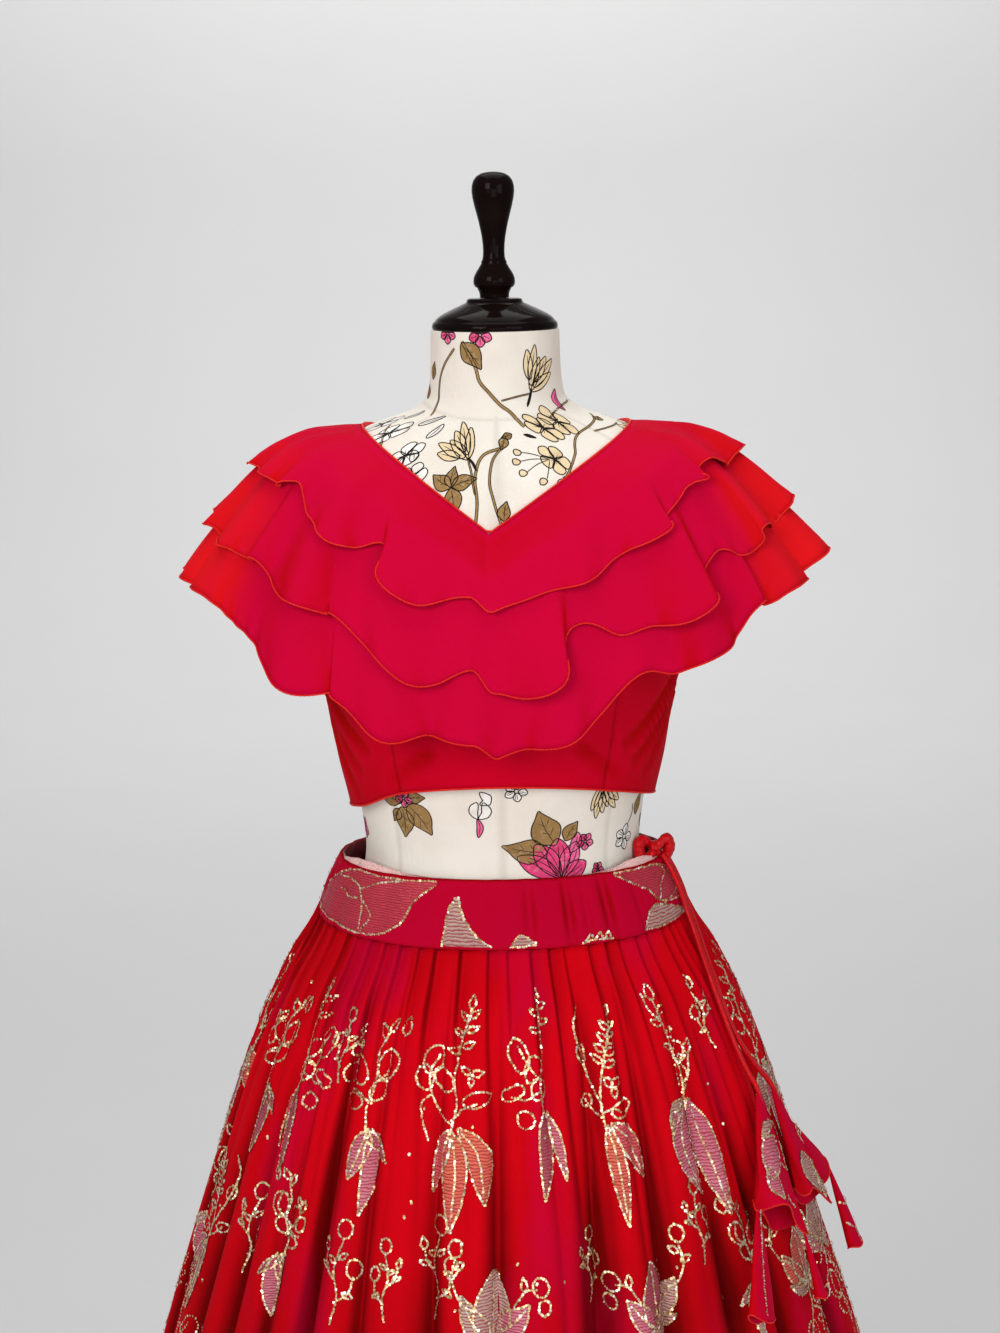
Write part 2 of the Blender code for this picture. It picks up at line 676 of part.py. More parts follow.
def add_neck_binding():
    """The piping round the neckline, over the edges of the choli and the ruffles."""
    corners = (
        (BINDING_NEAR, 0.0), (BINDING_FAR, 0.0),
        (BINDING_FAR, BINDING_HEIGHT), (BINDING_NEAR, BINDING_HEIGHT),
    )
    columns = 360 // BODY_STEP
    points, faces = [], []
    for j in range(columns):
        azimuth = BODY_STEP * j
        height = neckline_height(form, azimuth)
        out = form.outward(azimuth, height)
        place = form.point(azimuth, height)
        up = (form.point(azimuth, height + 1 * MM) - place).normalized()
        points += [place + out * across + up * rise for across, rise in corners]
    for j in range(columns):
        k = (j + 1) % columns
        for side in range(4):
            other = (side + 1) % 4
            faces.append((4 * j + side, 4 * k + side, 4 * k + other, 4 * j + other))
    add_object("neck_binding", points, faces, RED_TRIM)


def band_inset(azimuth, height, inset):
    """A point inside the band's outside, moved in level by an inset."""
    out = band.outward(azimuth, height)
    out.z = 0.0
    return band.point(azimuth, height) - out.normalized() * inset


def add_waist():
    """The waistband, and the lining inside it, which shows above it in two places."""
    columns = 360 // BODY_STEP
    turns = [BODY_STEP * j for j in range(columns)]
    rows = [[band_inset(turn, h * MM, 0.0) for turn in turns] for h in BAND_ROWS]
    add_wall("waistband", *both_sides(rows, BAND_WALL, True), RED_CLOTH, True)
    inset = BAND_WALL + LINING_GAP
    rows = [[band_inset(turn, BAND_TOP, inset) for turn in turns]]
    for turn, place in zip(turns, rows[0]):
        rise = sum(bump(turn, azimuth, spread) for azimuth, spread in LINING_SHOWS)
        place.z += LINING_RISE * rise - SEAM_GAP
    rows += [[band_inset(turn, h * MM, inset) for turn in turns] for h in LINING_ROWS]
    add_wall("waist_lining", *both_sides(rows, LINING_WALL, True), LINING_CLOTH, True)


def add_skirt():
    """The pleated skirt, a front and a back joined at the side seams."""
    turns = [pleat + part_way for pleat in range(PLEATS) for part_way in (0, PLEAT_VALLEY)]
    rows = [[skirt_point(turn, height * MM) for turn in turns] for height in SKIRT_ROWS]
    outer, inner = both_sides(rows, SKIRT_WALL, True)
    quarter = len(turns) // 4
    for name, first, last in (
        ("skirt_front", quarter, 3 * quarter),
        ("skirt_back", 3 * quarter, 5 * quarter),
    ):
        add_wall(name, cut_out(outer, first, last), cut_out(inner, first, last), RED_CLOTH, False)


def outside_point(azimuth, height, lift):
    """A point that stands off the skirt's crests, or off the band above them."""
    surface = band if height > BAND_BOTTOM else skirt
    return surface.point(azimuth, height) + surface.outward(azimuth, height) * lift


def smooth_route(points):
    """Points every CORD_STEP along a smooth curve through the route's own points."""
    padded = [2 * points[0] - points[1]] + points + [2 * points[-1] - points[-2]]
    fine = []
    for a, b, c, d in zip(padded, padded[1:], padded[2:], padded[3:]):
        for step in range(12):
            t = step / 12
            fine.append(
                0.5
                * (2 * b + (c - a) * t + (2 * a - 5 * b + 4 * c - d) * t**2
                   + (3 * b - a - 3 * c + d) * t**3)
            )
    fine.append(points[-1])
    kept = [fine[0]]
    for point in fine[1:-1]:
        if (point - kept[-1]).length >= CORD_STEP:
            kept.append(point)
    if (points[-1] - kept[-1]).length < CORD_STEP / 2:
        kept.pop()
    return kept + [points[-1]]


def add_tube(name, route, radius, finish, cyclic=False):
    """A round tube along a route, with flat closed ends."""
    curve = bpy.data.curves.new(name, "CURVE")
    curve.dimensions = "3D"
    curve.bevel_depth = radius
    curve.bevel_resolution = 2
    curve.use_fill_caps = True
    spline = curve.splines.new("POLY")
    spline.points.add(len(route) - 1)
    for knot, place in zip(spline.points, route):
        knot.co = (*place, 1.0)
    spline.use_cyclic_u = cyclic
    curve.materials.append(finish)
    made = bpy.data.objects.new(name, curve)
    bpy.context.scene.collection.objects.link(made)


def cord_route(rows):
    """A cord's own points, off the band and the skirt."""
    return [outside_point(row.azimuth, row.height * MM, row.lift * MM) for row in rows]


def add_drawstring():
    """The bow on the band's top edge, and the two free ends that hang from it."""
    rise = KNOT_HALF_HEIGHT + CORD_RADIUS + SEAM_GAP
    centre = band_inset(KNOT_AZIMUTH, BAND_TOP, BAND_WALL / 2) + Vector((0, 0, rise))
    out = band.outward(KNOT_AZIMUTH, BAND_TOP + rise)
    up = Vector((0, 0, 1))
    across = up.cross(out).normalized()
    loop = []
    for step in range(KNOT_POINTS):
        t = 2 * math.pi * step / KNOT_POINTS
        loop.append(
            centre + across * KNOT_HALF_WIDTH * math.sin(t) + up * KNOT_HALF_HEIGHT * math.sin(2 * t)
            + out * KNOT_HALF_DEPTH * math.cos(t)
        )
    add_tube("tie_knot", loop, CORD_RADIUS, RED_TRIM, cyclic=True)
    add_tube("tie_cord_front", smooth_route(cord_route(CORD_FRONT)), CORD_RADIUS, RED_TRIM)
    add_tube("tie_cord_back", smooth_route(cord_route(CORD_BACK)), CORD_RADIUS, RED_TRIM)


class Tassel:
    """A flattened hollow cone of cloth with a closed top and an open foot."""

    def __init__(self, row, top, down, out):
        across = out.cross(down).normalized()
        turn = math.radians(row.turn)
        self.row = row
        self.top = top
        self.down = (down * math.cos(turn) - across * math.sin(turn)).normalized()
        self.across = (across * math.cos(turn) + down * math.sin(turn)).normalized()
        self.out = self.down.cross(self.across)

    def point(self, share, side, inset=0.0):
        """A point at a share of the length and at an angle in degrees round the tassel."""
        turn = math.radians(side)
        spread = 0.1 + 0.9 * share**0.85
        wide = self.row.wide / 2 * MM * spread - inset
        deep = self.row.deep / 2 * MM * spread - inset
        along = self.row.length * MM * share + (inset if share == 0 else 0.0)
        centre = self.top + self.down * along
        return centre + self.across * wide * math.cos(turn) + self.out * deep * math.sin(turn)

    def build(self, sides, shares):
        """Adds the tassel's outside, inside, closed top and rim as one solid."""
        turns = [360 * j / sides for j in range(sides)]
        rings = [[self.point(share, turn) for turn in turns] for share in shares]
        rings += [[self.point(share, turn, TASSEL_WALL) for turn in turns] for share in shares[:0:-1]]
        points = [point for ring in rings for point in ring]
        faces = []
        for i in range(len(rings) - 1):
            for j in range(sides):
                k = (j + 1) % sides
                a, b = i * sides + j, i * sides + k
                faces.append((a, b, b + sides, a + sides))
        faces.append(tuple(reversed(range(sides))))
        last = (len(rings) - 1) * sides
        faces.append(tuple(range(last, last + sides)))
        add_object(self.row.name, points, faces, RED_CLOTH)


def clear_of(one_way, other_way):
    """How far apart two blunt ends start where their directions differ."""
    return TASSEL_GAP + CORD_RADIUS * one_way.cross(other_way).length


def add_tassels():
    """The two bells at the cords' ends, and the cones that hang from them."""
    made = {}
    azimuth, high, low = TASSEL_SLOPE_AT
    slope = (skirt.point(azimuth, low * MM) - skirt.point(azimuth, high * MM)).normalized()
    for row, cord in zip(BELLS, (CORD_FRONT, CORD_BACK)):
        end = cord[-1]
        before, last = cord_route(cord)[-2:]
        down = outside_point(end.azimuth, (end.height - 40) * MM, end.lift * MM) - last
        out = skirt.outward(end.azimuth, end.height * MM)
        tassel = Tassel(row, last, down.normalized(), out)
        tassel.top = last + tassel.down * clear_of((last - before).normalized(), tassel.down)
        made[row.name] = tassel
        made[row.name].build(14, (0.0, 0.12, 0.4, 0.72, 1.0))
    for row in CONES:
        host = made[row.host]
        place = host.point(row.share, row.side, TASSEL_WALL / 2)
        tassel = Tassel(row, place, slope, slope.cross(host.across).normalized())
        if row.share == 1.0:
            tassel.top = place + tassel.down * clear_of(host.down, tassel.down)
        else:
            tassel.top = place + host.across * (TASSEL_GAP + TASSEL_WALL / 2 + row.wide * 0.05 * MM)
        made[row.name] = tassel
        made[row.name].build(10, (0.0, 0.16, 0.55, 1.0))


def main():
    for old in list(bpy.data.objects):
        bpy.data.objects.remove(old, do_unlink=True)
    add_stand()
    add_form()
    add_neck_cap()
    add_bodice()
    add_ruffles()
    add_neck_binding()
    add_waist()
    add_skirt()
    add_drawstring()
    add_tassels()


main()
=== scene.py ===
import math
from collections import namedtuple

import bpy
import numpy as np
from mathutils import Matrix, Vector


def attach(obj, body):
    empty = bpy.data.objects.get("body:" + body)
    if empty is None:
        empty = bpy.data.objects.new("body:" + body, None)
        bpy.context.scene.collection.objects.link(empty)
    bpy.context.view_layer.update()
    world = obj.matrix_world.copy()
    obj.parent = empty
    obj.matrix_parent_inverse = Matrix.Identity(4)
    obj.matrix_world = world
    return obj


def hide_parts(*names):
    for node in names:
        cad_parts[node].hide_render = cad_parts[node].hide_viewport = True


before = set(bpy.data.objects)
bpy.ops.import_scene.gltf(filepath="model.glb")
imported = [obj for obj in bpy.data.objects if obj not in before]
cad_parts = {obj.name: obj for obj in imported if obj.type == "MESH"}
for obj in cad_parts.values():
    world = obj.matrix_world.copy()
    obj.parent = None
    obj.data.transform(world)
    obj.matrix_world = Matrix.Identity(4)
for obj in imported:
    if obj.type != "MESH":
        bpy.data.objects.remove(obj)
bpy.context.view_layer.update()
mm = 0.001
luck = np.random.default_rng(11)
print("frame loaded:", len(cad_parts), "nodes")

# Shapes shared with the solids. An azimuth is in degrees from the front, 90 at +X and 180 behind
# Each row of a profile: height, half width, depth in front, depth behind, squareness
formRows = [
    (800, 168, 108, 117, 2.3), (830, 169, 110, 118, 2.3),
    (880, 164, 109, 114, 2.3), (930, 152, 104, 104, 2.3),
    (980, 135, 97, 90, 2.25), (1020, 120, 90, 80, 2.2),
    (1045, 117.5, 89, 77, 2.2), (1080, 121, 95, 80, 2.2),
    (1130, 133, 106, 88, 2.25), (1180, 143, 118, 96, 2.3),
    (1230, 153, 119, 101, 2.35), (1270, 164, 112, 103, 2.35),
    (1310, 175, 102, 101, 2.3), (1340, 177, 92, 97, 2.25),
    (1360, 172, 82, 92, 2.2), (1375, 160, 73, 86, 2.1),
    (1388, 139, 66, 80, 2.0), (1398, 114, 60, 73, 2.0),
    (1406, 92, 56, 68, 2.0), (1414, 70, 53, 63, 2.0),
    (1426, 57, 51, 59, 2.0), (1445, 54, 51, 55, 2.0),
    (1479, 53, 53, 51, 2.0),
]
bellRows = [
    (1040, 276, 148, 142, 2.15), (1130, 274, 147, 140, 2.15),
    (1170, 272, 146, 137, 2.15), (1210, 270, 143, 133, 2.15),
    (1240, 266, 137, 128, 2.15), (1270, 256, 128, 122, 2.15),
    (1300, 238, 117, 115, 2.2), (1330, 217, 104, 108, 2.25),
    (1355, 198, 92, 101, 2.25), (1375, 178, 80, 93, 2.15),
    (1388, 155, 72, 86, 2.05), (1397, 130, 66, 80, 2.0),
    (1404, 108, 61, 74, 2.0), (1412, 84, 57, 68, 2.0),
]
bandRows = [
    (987, 160.5, 131, 128, 2.15), (1008, 153, 115, 110, 2.15),
    (1034.5, 140, 93.2, 82.0, 2.15),
]
skirtRows = [
    (20, 450, 428, 430, 2.0), (200, 412, 391, 394, 2.0),
    (400, 365, 343, 347, 2.0), (585, 315, 291, 295, 2.0),
    (666, 290, 266, 270, 2.0), (749, 263, 239, 243, 2.05),
    (864, 224, 199, 204, 2.1), (942, 188, 161, 164, 2.15),
    (970, 170, 141, 141, 2.15), (986.7, 161.5, 132, 129, 2.15),
]
bust = {"height": 1212 * mm, "side": 72 * mm, "wide": 46 * mm, "tall": 50 * mm, "out": 14 * mm}
neck = {
    "halfWidth": 114 * mm, "shoulder": 1401.5 * mm, "vBottom": 1322 * mm, "vAside": -7 * mm,
    "back": 1368 * mm, "lowest": 1300 * mm, "highest": 1412 * mm,
}


def smoothStep(t):
    t = np.clip(t, 0.0, 1.0)
    return t * t * (3 - 2 * t)


def sine(degrees):
    return np.sin(np.radians(degrees))


def cosine(degrees):
    return np.cos(np.radians(degrees))


def heading(degrees):
    turn = math.radians(degrees)
    return math.cos(turn), math.sin(turn)


def unit(vectors):
    return vectors / np.maximum(np.linalg.norm(vectors, axis=-1, keepdims=True), 1e-12)


def evenTurns(count, start=-180):
    return np.arange(count) * 360 / count + start


def circle(count):
    return 2 * np.pi * np.arange(count) / count


def lengthsAlong(points):
    # the running length of a line at each of its points
    return np.concatenate([[0], np.cumsum(np.linalg.norm(np.diff(points, axis=0), axis=-1))])


def readAlong(wanted, known, rows):
    # rows of numbers read at wanted places between known ones
    return np.stack([np.interp(wanted, known, rows[:, axis]) for axis in range(rows.shape[1])], axis=-1)


class Profile:
    # a smooth profile through rows of sections, read for whole arrays at once
    def __init__(self, rows, swelling=None):
        table = np.array(sorted(rows))
        self.heights = table[:, 0] * mm
        self.columns = table[:, 1:].T * np.array([[mm], [mm], [mm], [1]])
        steps = np.diff(self.heights)
        rises = np.diff(self.columns, axis=1) / steps
        product = rises[:, :-1] * rises[:, 1:]
        total = rises[:, :-1] + rises[:, 1:]
        inside = np.where(product > 0, 2 * product / np.where(product > 0, total, 1.0), 0.0)
        self.slopes = np.hstack([rises[:, :1], inside, rises[:, -1:]])
        self.swelling = swelling

    def at(self, height):
        height = np.clip(height, self.heights[0], self.heights[-1])
        i = np.clip(np.searchsorted(self.heights, height, side="left") - 1, 0, len(self.heights) - 2)
        step = self.heights[i + 1] - self.heights[i]
        t = (height - self.heights[i]) / step
        ease = t * t * (3 - 2 * t)
        near, far = self.columns[:, i], self.columns[:, i + 1]
        bend = self.slopes[:, i] * (t - 2 * t**2 + t**3) + self.slopes[:, i + 1] * (t**3 - t**2)
        return near * (1 - ease) + far * ease + bend * step

    def point(self, azimuth, height):
        azimuth, height = np.broadcast_arrays(np.asarray(azimuth, float), np.asarray(height, float))
        halfWidth, front, back, squareness = self.at(height)
        side, ahead = sine(azimuth), cosine(azimuth)
        power = 2 / squareness
        depth = np.where(ahead > 0, front, back)
        x = np.sign(side) * halfWidth * np.abs(side) ** power
        y = -np.sign(ahead) * depth * np.abs(ahead) ** power
        if self.swelling:
            b = self.swelling
            tall = np.exp(-(((height - b["height"]) / b["tall"]) ** 2))
            wide = sum(np.exp(-(((x - s * b["side"]) / b["wide"]) ** 2)) for s in (-1, 1))
            y = y - b["out"] * tall * wide * np.clip(3 * ahead, 0.0, 1.0)
        return np.stack([x, y, height], axis=-1)

    def outward(self, azimuth, height):
        around = self.point(azimuth + 0.5, height) - self.point(azimuth - 0.5, height)
        along = self.point(azimuth, height + 2 * mm) - self.point(azimuth, height - 2 * mm)
        return unit(np.cross(around, along))

    def level(self, azimuth, height):
        return unit(self.outward(azimuth, height) * np.array([1.0, 1.0, 0.0]))


form = Profile(formRows, bust)
bell, band, skirt = Profile(bellRows), Profile(bandRows), Profile(skirtRows)


def necklineHeight(surface, azimuth):
    # a V in front and a round scoop behind, found by halving
    ahead = cosine(azimuth)
    low = np.full(len(azimuth), neck["lowest"])
    high = np.full(len(azimuth), neck["highest"])
    for _ in range(40):
        middle = (low + high) / 2
        x = surface.point(azimuth, middle)[:, 0]
        reach = neck["halfWidth"] - np.copysign(neck["vAside"], neck["vAside"] - x)
        share = np.minimum(1.0, np.abs(x - neck["vAside"]) / reach)
        front = neck["vBottom"] + (neck["shoulder"] - neck["vBottom"]) * share
        bow = np.minimum(1.0, np.abs(x) / neck["halfWidth"]) ** 1.6
        back = neck["back"] + (neck["shoulder"] - neck["back"]) * bow
        below = middle < np.where(ahead >= 0, front, back)
        low, high = np.where(below, middle, low), np.where(below, high, middle)
    return low


def fallLines(surface, azimuth, distances):
    # places and outward directions at distances (rows, columns) down from the neckline
    step, count = 1.5 * mm, 150
    top = necklineHeight(surface, azimuth)
    heights = top[None, :] - step * np.arange(count)[:, None]
    places = surface.point(azimuth[None, :], heights)
    outs = surface.outward(azimuth[None, :], heights)
    gone = np.linalg.norm(np.diff(places, axis=0), axis=-1)
    gone = np.vstack([np.zeros((1, len(azimuth))), np.cumsum(gone, axis=0)])
    found, ways = np.empty(distances.shape + (3,)), np.empty(distances.shape + (3,))
    for j in range(len(azimuth)):
        found[:, j] = readAlong(distances[:, j], gone[:, j], places[:, j])
        ways[:, j] = readAlong(distances[:, j], gone[:, j], outs[:, j])
    return found, unit(ways)


def turnBetween(a, b):
    return (a - b + 180) % 360 - 180


def bump(azimuth, centre, spread):
    # 1 at the centre, fading to both sides over the spread in degrees
    return np.exp(-((turnBetween(azimuth, centre) / spread) ** 2))


# Camera: a phone held level with the finial, looking slightly down
camera = {"place": (0, -1.8335, 1.568), "pitch": 11.5, "roll": -0.86, "focalPixels": 2200, "tall": 1333}
cameraData = bpy.data.cameras.new("camera")
cameraData.sensor_fit = "VERTICAL"
cameraData.sensor_height = 36
cameraData.lens = camera["focalPixels"] * 36 / camera["tall"]
cameraObject = bpy.data.objects.new("camera", cameraData)
cameraObject.matrix_world = (
    Matrix.Translation(camera["place"])
    @ Matrix.Rotation(math.radians(90 - camera["pitch"]), 4, "X")
    @ Matrix.Rotation(math.radians(camera["roll"]), 4, "Z")
)
bpy.context.scene.collection.objects.link(cameraObject)
bpy.context.scene.camera = cameraObject


# Materials
class Value:
    # a socket in Python sums: each operator adds one Math node
    def __init__(self, finish, socket):
        self.finish, self.socket = finish, socket

    def sum(self, operation, first, second):
        made = self.finish.node("ShaderNodeMath", {"operation": operation}, {0: first, 1: second})
        return Value(self.finish, made.outputs[0])

    def __add__(self, other):
        return self.sum("ADD", self, other)

    def __radd__(self, other):
        return self.sum("ADD", other, self)

    def __sub__(self, other):
        return self.sum("SUBTRACT", self, other)

    def __rsub__(self, other):
        return self.sum("SUBTRACT", other, self)

    def __mul__(self, other):
        return self.sum("MULTIPLY", self, other)

    def clamp(self, low, high):
        settings = {"clamp": True}
        ranged = {0: self, 1: low, 2: high, 3: 0.0, 4: 1.0}
        made = self.finish.node("ShaderNodeMapRange", settings, ranged)
        return Value(self.finish, made.outputs[0])


class Finish:
    # one node material with a Principled shader
    def __init__(self, name, roughness, metallic=0.0, **constants):
        self.material = bpy.data.materials.new(name)
        self.material.use_nodes = True
        self.tree = self.material.node_tree
        self.shader = self.tree.nodes["Principled BSDF"]
        self.shader.inputs["Roughness"].default_value = roughness
        self.shader.inputs["Metallic"].default_value = metallic
        for socket, amount in constants.items():
            self.shader.inputs[socket.replace("_", " ")].default_value = amount
        self.object = self.node("ShaderNodeTexCoord").outputs["Object"]

    def node(self, kind, settings=None, inputs=None):
        made = self.tree.nodes.new(kind)
        for setting, choice in (settings or {}).items():
            setattr(made, setting, choice)
        for socket, given in (inputs or {}).items():
            if isinstance(given, Value):
                given = given.socket
            if isinstance(given, bpy.types.NodeSocket):
                self.tree.links.new(given, made.inputs[socket])
            else:
                made.inputs[socket].default_value = given
        return made

    def noise(self, scale, detail=3.0, roughness=0.5, vector=None):
        inputs = {"Vector": vector or self.object, "Scale": scale, "Detail": detail, "Roughness": roughness}
        return Value(self, self.node("ShaderNodeTexNoise", {}, inputs).outputs["Fac"])

    def attribute(self, name, output="Fac"):
        made = self.node("ShaderNodeAttribute", {"attribute_name": name})
        return Value(self, made.outputs[output]) if output == "Fac" else made.outputs[output]

    def mix(self, share, first, second, blend="MIX"):
        settings = {"data_type": "RGBA", "blend_type": blend}
        first = (*first, 1) if isinstance(first, tuple) else first
        second = (*second, 1) if isinstance(second, tuple) else second
        return self.node("ShaderNodeMix", settings, {0: share, 6: first, 7: second}).outputs[2]

    def stretched(self, scale):
        inputs = {"Vector": self.object, "Scale": scale}
        return self.node("ShaderNodeMapping", {}, inputs).outputs[0]

    def feed(self, socket, source):
        source = source.socket if isinstance(source, Value) else source
        self.tree.links.new(source, self.shader.inputs[socket])

    def relief(self, height, distance, strength=1.0):
        inputs = {"Height": height, "Distance": distance, "Strength": strength}
        self.feed("Normal", self.node("ShaderNodeBump", {}, inputs).outputs[0])


# the facing reds are the cloth's own colour; each folded red is painted shade, a darker and purer red, for
# folds, creases and turned cloth; the one-layer red is painted light shining through a single layer
reds = {
    "paintedLightThrough": (0.74, 0.0075, 0.012), "grain": (0.26, 0.0004, 0.003), "streak": (0.50, 0.0005, 0.042),
    "ruffleFacing": (0.56, 0.0006, 0.036), "rufflePaintedShade": (0.50, 0.0006, 0.005),
    "bodiceFacing": (0.57, 0.0004, 0.018), "bodicePaintedShade": (0.42, 0.0002, 0.0006),
    "bandFacing": (0.50, 0.0005, 0.026), "bandPaintedShade": (0.34, 0.0004, 0.004),
    "skirtFacing": (0.60, 0.0004, 0.006), "skirtPaintedShade": (0.15, 0.0002, 0.0006),
}


def georgette(kind, streaks=0.0):
    # crepe georgette: crimson where it lies flat, with painted shade (a purer, darker red) in its folds, and
    # painted light shining through where it hangs as one layer
    sheen = {"Sheen_Weight": 0.04, "Sheen_Tint": (1.0, 0.05, 0.1, 1)}
    finish = Finish(kind + "_georgette", 0.78, Specular_IOR_Level=0.03, **sheen)
    # turned is the mask of painted shade, made a little uneven by noise
    turned = finish.attribute("turned")
    thin = finish.attribute("thin")
    mottle = finish.noise(9.0, 2.0)
    share = (turned + (mottle - 0.5) * 0.5).clamp(0.05, 0.85)
    cloth = finish.mix(share, reds[kind + "Facing"], reds[kind + "PaintedShade"])
    streak = finish.noise(1.0, 2.0, 0.5, finish.stretched((16.0, 16.0, 1.6)))
    cloth = finish.mix(streak.clamp(0.52, 0.68) * streaks, cloth, reds["streak"])
    # painted light shining through the single layer, where thin says so
    cloth = finish.mix(thin, cloth, reds["paintedLightThrough"])
    grain = finish.noise(900.0, 2.0, 0.7)
    cloth = finish.mix(grain.clamp(0.2, 0.8) * 0.16, cloth, reds["grain"])
    finish.feed("Base Color", cloth)
    finish.feed("Roughness", 0.70 + grain * 0.16)
    crossGrain = finish.noise(1.0, 1.0, 0.5, finish.stretched((1500.0, 1500.0, 600.0)))
    finish.relief(grain * 0.6 + crossGrain * 0.4, 0.0004, 0.35)
    return finish.material


def threadEdge():
    finish = Finish("serged_thread", 0.55, Specular_IOR_Level=0.15)
    twist = finish.noise(1400.0, 1.0)
    finish.feed("Base Color", finish.mix(twist.clamp(0.3, 0.7), (0.78, 0.022, 0.012), (0.56, 0.004, 0.006)))
    finish.relief(twist, 0.0003, 0.5)
    return finish.material


def satin():
    finish = Finish("satin_tube", 0.34, Specular_IOR_Level=0.3, Specular_Tint=(1.0, 0.5, 0.5, 1))
    along = finish.noise(1.0, 2.0, 0.6, finish.stretched((700.0, 700.0, 90.0)))
    finish.feed("Base Color", finish.mix(along.clamp(0.3, 0.7), (0.62, 0.003, 0.008), (0.40, 0.001, 0.004)))
    finish.feed("Roughness", 0.26 + along * 0.2)
    finish.relief(along, 0.0006, 0.5)
    return finish.material


def coverCotton():
    # the dress form's cotton cover: ivory canvas with a plain weave
    finish = Finish("cotton_cover", 0.86, Specular_IOR_Level=0.2)
    warp = finish.node("ShaderNodeTexWave", {"bands_direction": "Z"}, {
        "Vector": finish.object, "Scale": 420.0, "Distortion": 3.0, "Detail": 1.0})
    weft = finish.node("ShaderNodeTexWave", {"bands_direction": "DIAGONAL"}, {
        "Vector": finish.stretched((1.0, 1.0, 0.05)), "Scale": 420.0, "Distortion": 3.0, "Detail": 1.0})
    weave = Value(finish, warp.outputs["Fac"]) * 0.5 + Value(finish, weft.outputs["Fac"]) * 0.5
    age = finish.noise(14.0, 4.0, 0.6)
    cloth = finish.mix(age.clamp(0.35, 0.75), (0.85, 0.80, 0.715), (0.76, 0.69, 0.595))
    cloth = finish.mix(weave * 0.10, cloth, (0.62, 0.58, 0.51))
    cloth = finish.mix(finish.attribute("seam"), cloth, (0.50, 0.45, 0.38))
    finish.feed("Base Color", cloth)
    finish.relief(weave, 0.0004, 0.35)
    return finish.material


def printInk(name, wear):
    # printed colour: each patch has its own tint, soaked unevenly into the cotton
    finish = Finish(name, 0.85, Specular_IOR_Level=0.15)
    tint = finish.attribute("tint", "Color")
    worn = finish.noise(260.0, 3.0, 0.6)
    shade = finish.noise(90.0, 2.0)
    cloth = finish.mix(worn.clamp(0.55, 0.85) * wear, tint, (0.86, 0.82, 0.74))
    darker = finish.mix(1.0, tint, (0.55, 0.45, 0.40), "MULTIPLY")
    cloth = finish.mix(shade.clamp(0.5, 0.8) * 0.45, cloth, darker)
    finish.feed("Base Color", cloth)
    return finish.material


def sequinMetal():
    finish = Finish("gold_sequins", 0.3, 0.8)
    finish.feed("Base Color", finish.attribute("tint", "Color"))
    finish.feed("Roughness", 0.22 + finish.noise(300.0, 1.0) * 0.3)
    return finish.material


def stitchedFill():
    # filled embroidery: rows of thread with the cloth showing between them
    finish = Finish("thread_fill", 0.5, 0.1, Specular_IOR_Level=0.25)
    uv = finish.node("ShaderNodeUVMap", {"uv_map": "cloth"}).outputs[0]
    wander = finish.noise(140.0, 2.0, 0.5, uv)
    rows = finish.node("ShaderNodeTexWave", {"bands_direction": "Y", "wave_profile": "SIN"}, {
        "Vector": uv, "Scale": 105.0, "Distortion": 4.5, "Detail": 2.0, "Detail Scale": 1.6})
    row = Value(finish, rows.outputs["Fac"])
    tint = finish.attribute("tint", "Color")
    gap = (1.0 - row).clamp(0.55, 0.95) * 0.85
    lighter = finish.mix(1.0, tint, (1.35, 1.25, 1.25), "MULTIPLY")
    cloth = finish.mix(wander.clamp(0.3, 0.7) * 0.35, tint, lighter)
    finish.feed("Base Color", finish.mix(gap, cloth, (0.34, 0.006, 0.012)))
    finish.relief(row + wander * 0.4, 0.0008, 0.6)
    return finish.material


def sheerNet():
    finish = Finish("lining_net", 0.75, Sheen_Weight=0.2)
    mesh = finish.noise(1.0, 1.0, 0.5, finish.stretched((900.0, 900.0, 900.0)))
    pale = finish.mix(mesh.clamp(0.35, 0.65), (0.86, 0.64, 0.60), (0.74, 0.33, 0.32))
    backed = finish.mix(mesh.clamp(0.35, 0.65), (0.42, 0.012, 0.022), (0.26, 0.002, 0.008))
    finish.feed("Base Color", finish.mix(finish.attribute("thin"), backed, pale))
    finish.relief(mesh, 0.0003, 0.4)
    return finish.material


def lacquer():
    finish = Finish("black_lacquer", 0.07, Specular_IOR_Level=0.035, Coat_Weight=0.01, Coat_Roughness=0.03)
    turning = finish.noise(1.0, 2.0, 0.5, finish.stretched((3.0, 3.0, 260.0)))
    finish.feed("Base Color", finish.mix(finish.noise(40.0), (0.003, 0.002, 0.0018), (0.009, 0.004, 0.003)))
    finish.feed("Roughness", 0.05 + turning * 0.07)
    finish.relief(turning, 0.0002, 0.25)
    return finish.material


def blackMetal():
    finish = Finish("black_metal", 0.42)
    speck = finish.noise(700.0, 3.0)
    wear = finish.noise(18.0, 4.0, 0.65)
    worn = wear.clamp(0.55, 0.8) * 0.5
    finish.feed("Base Color", finish.mix(worn, (0.018, 0.018, 0.019), (0.07, 0.068, 0.065)))
    finish.feed("Roughness", 0.34 + speck * 0.25)
    finish.relief(speck, 0.0003, 0.3)
    return finish.material


ruffleCloth, bodiceCloth, bandCloth = (georgette(kind) for kind in ("ruffle", "bodice", "band"))
skirtCloth = georgette("skirt", 0.5)
edgeThread = threadEdge()
satinRed = satin()
cotton = coverCotton()
inkFill = printInk("print_colours", 0.38)
inkBlack = printInk("print_lines", 0.05)
sequinGold = sequinMetal()
threadFill = stitchedFill()
liningNet = sheerNet()
lacquerBlack = lacquer()
standBlack = blackMetal()
print("materials made")


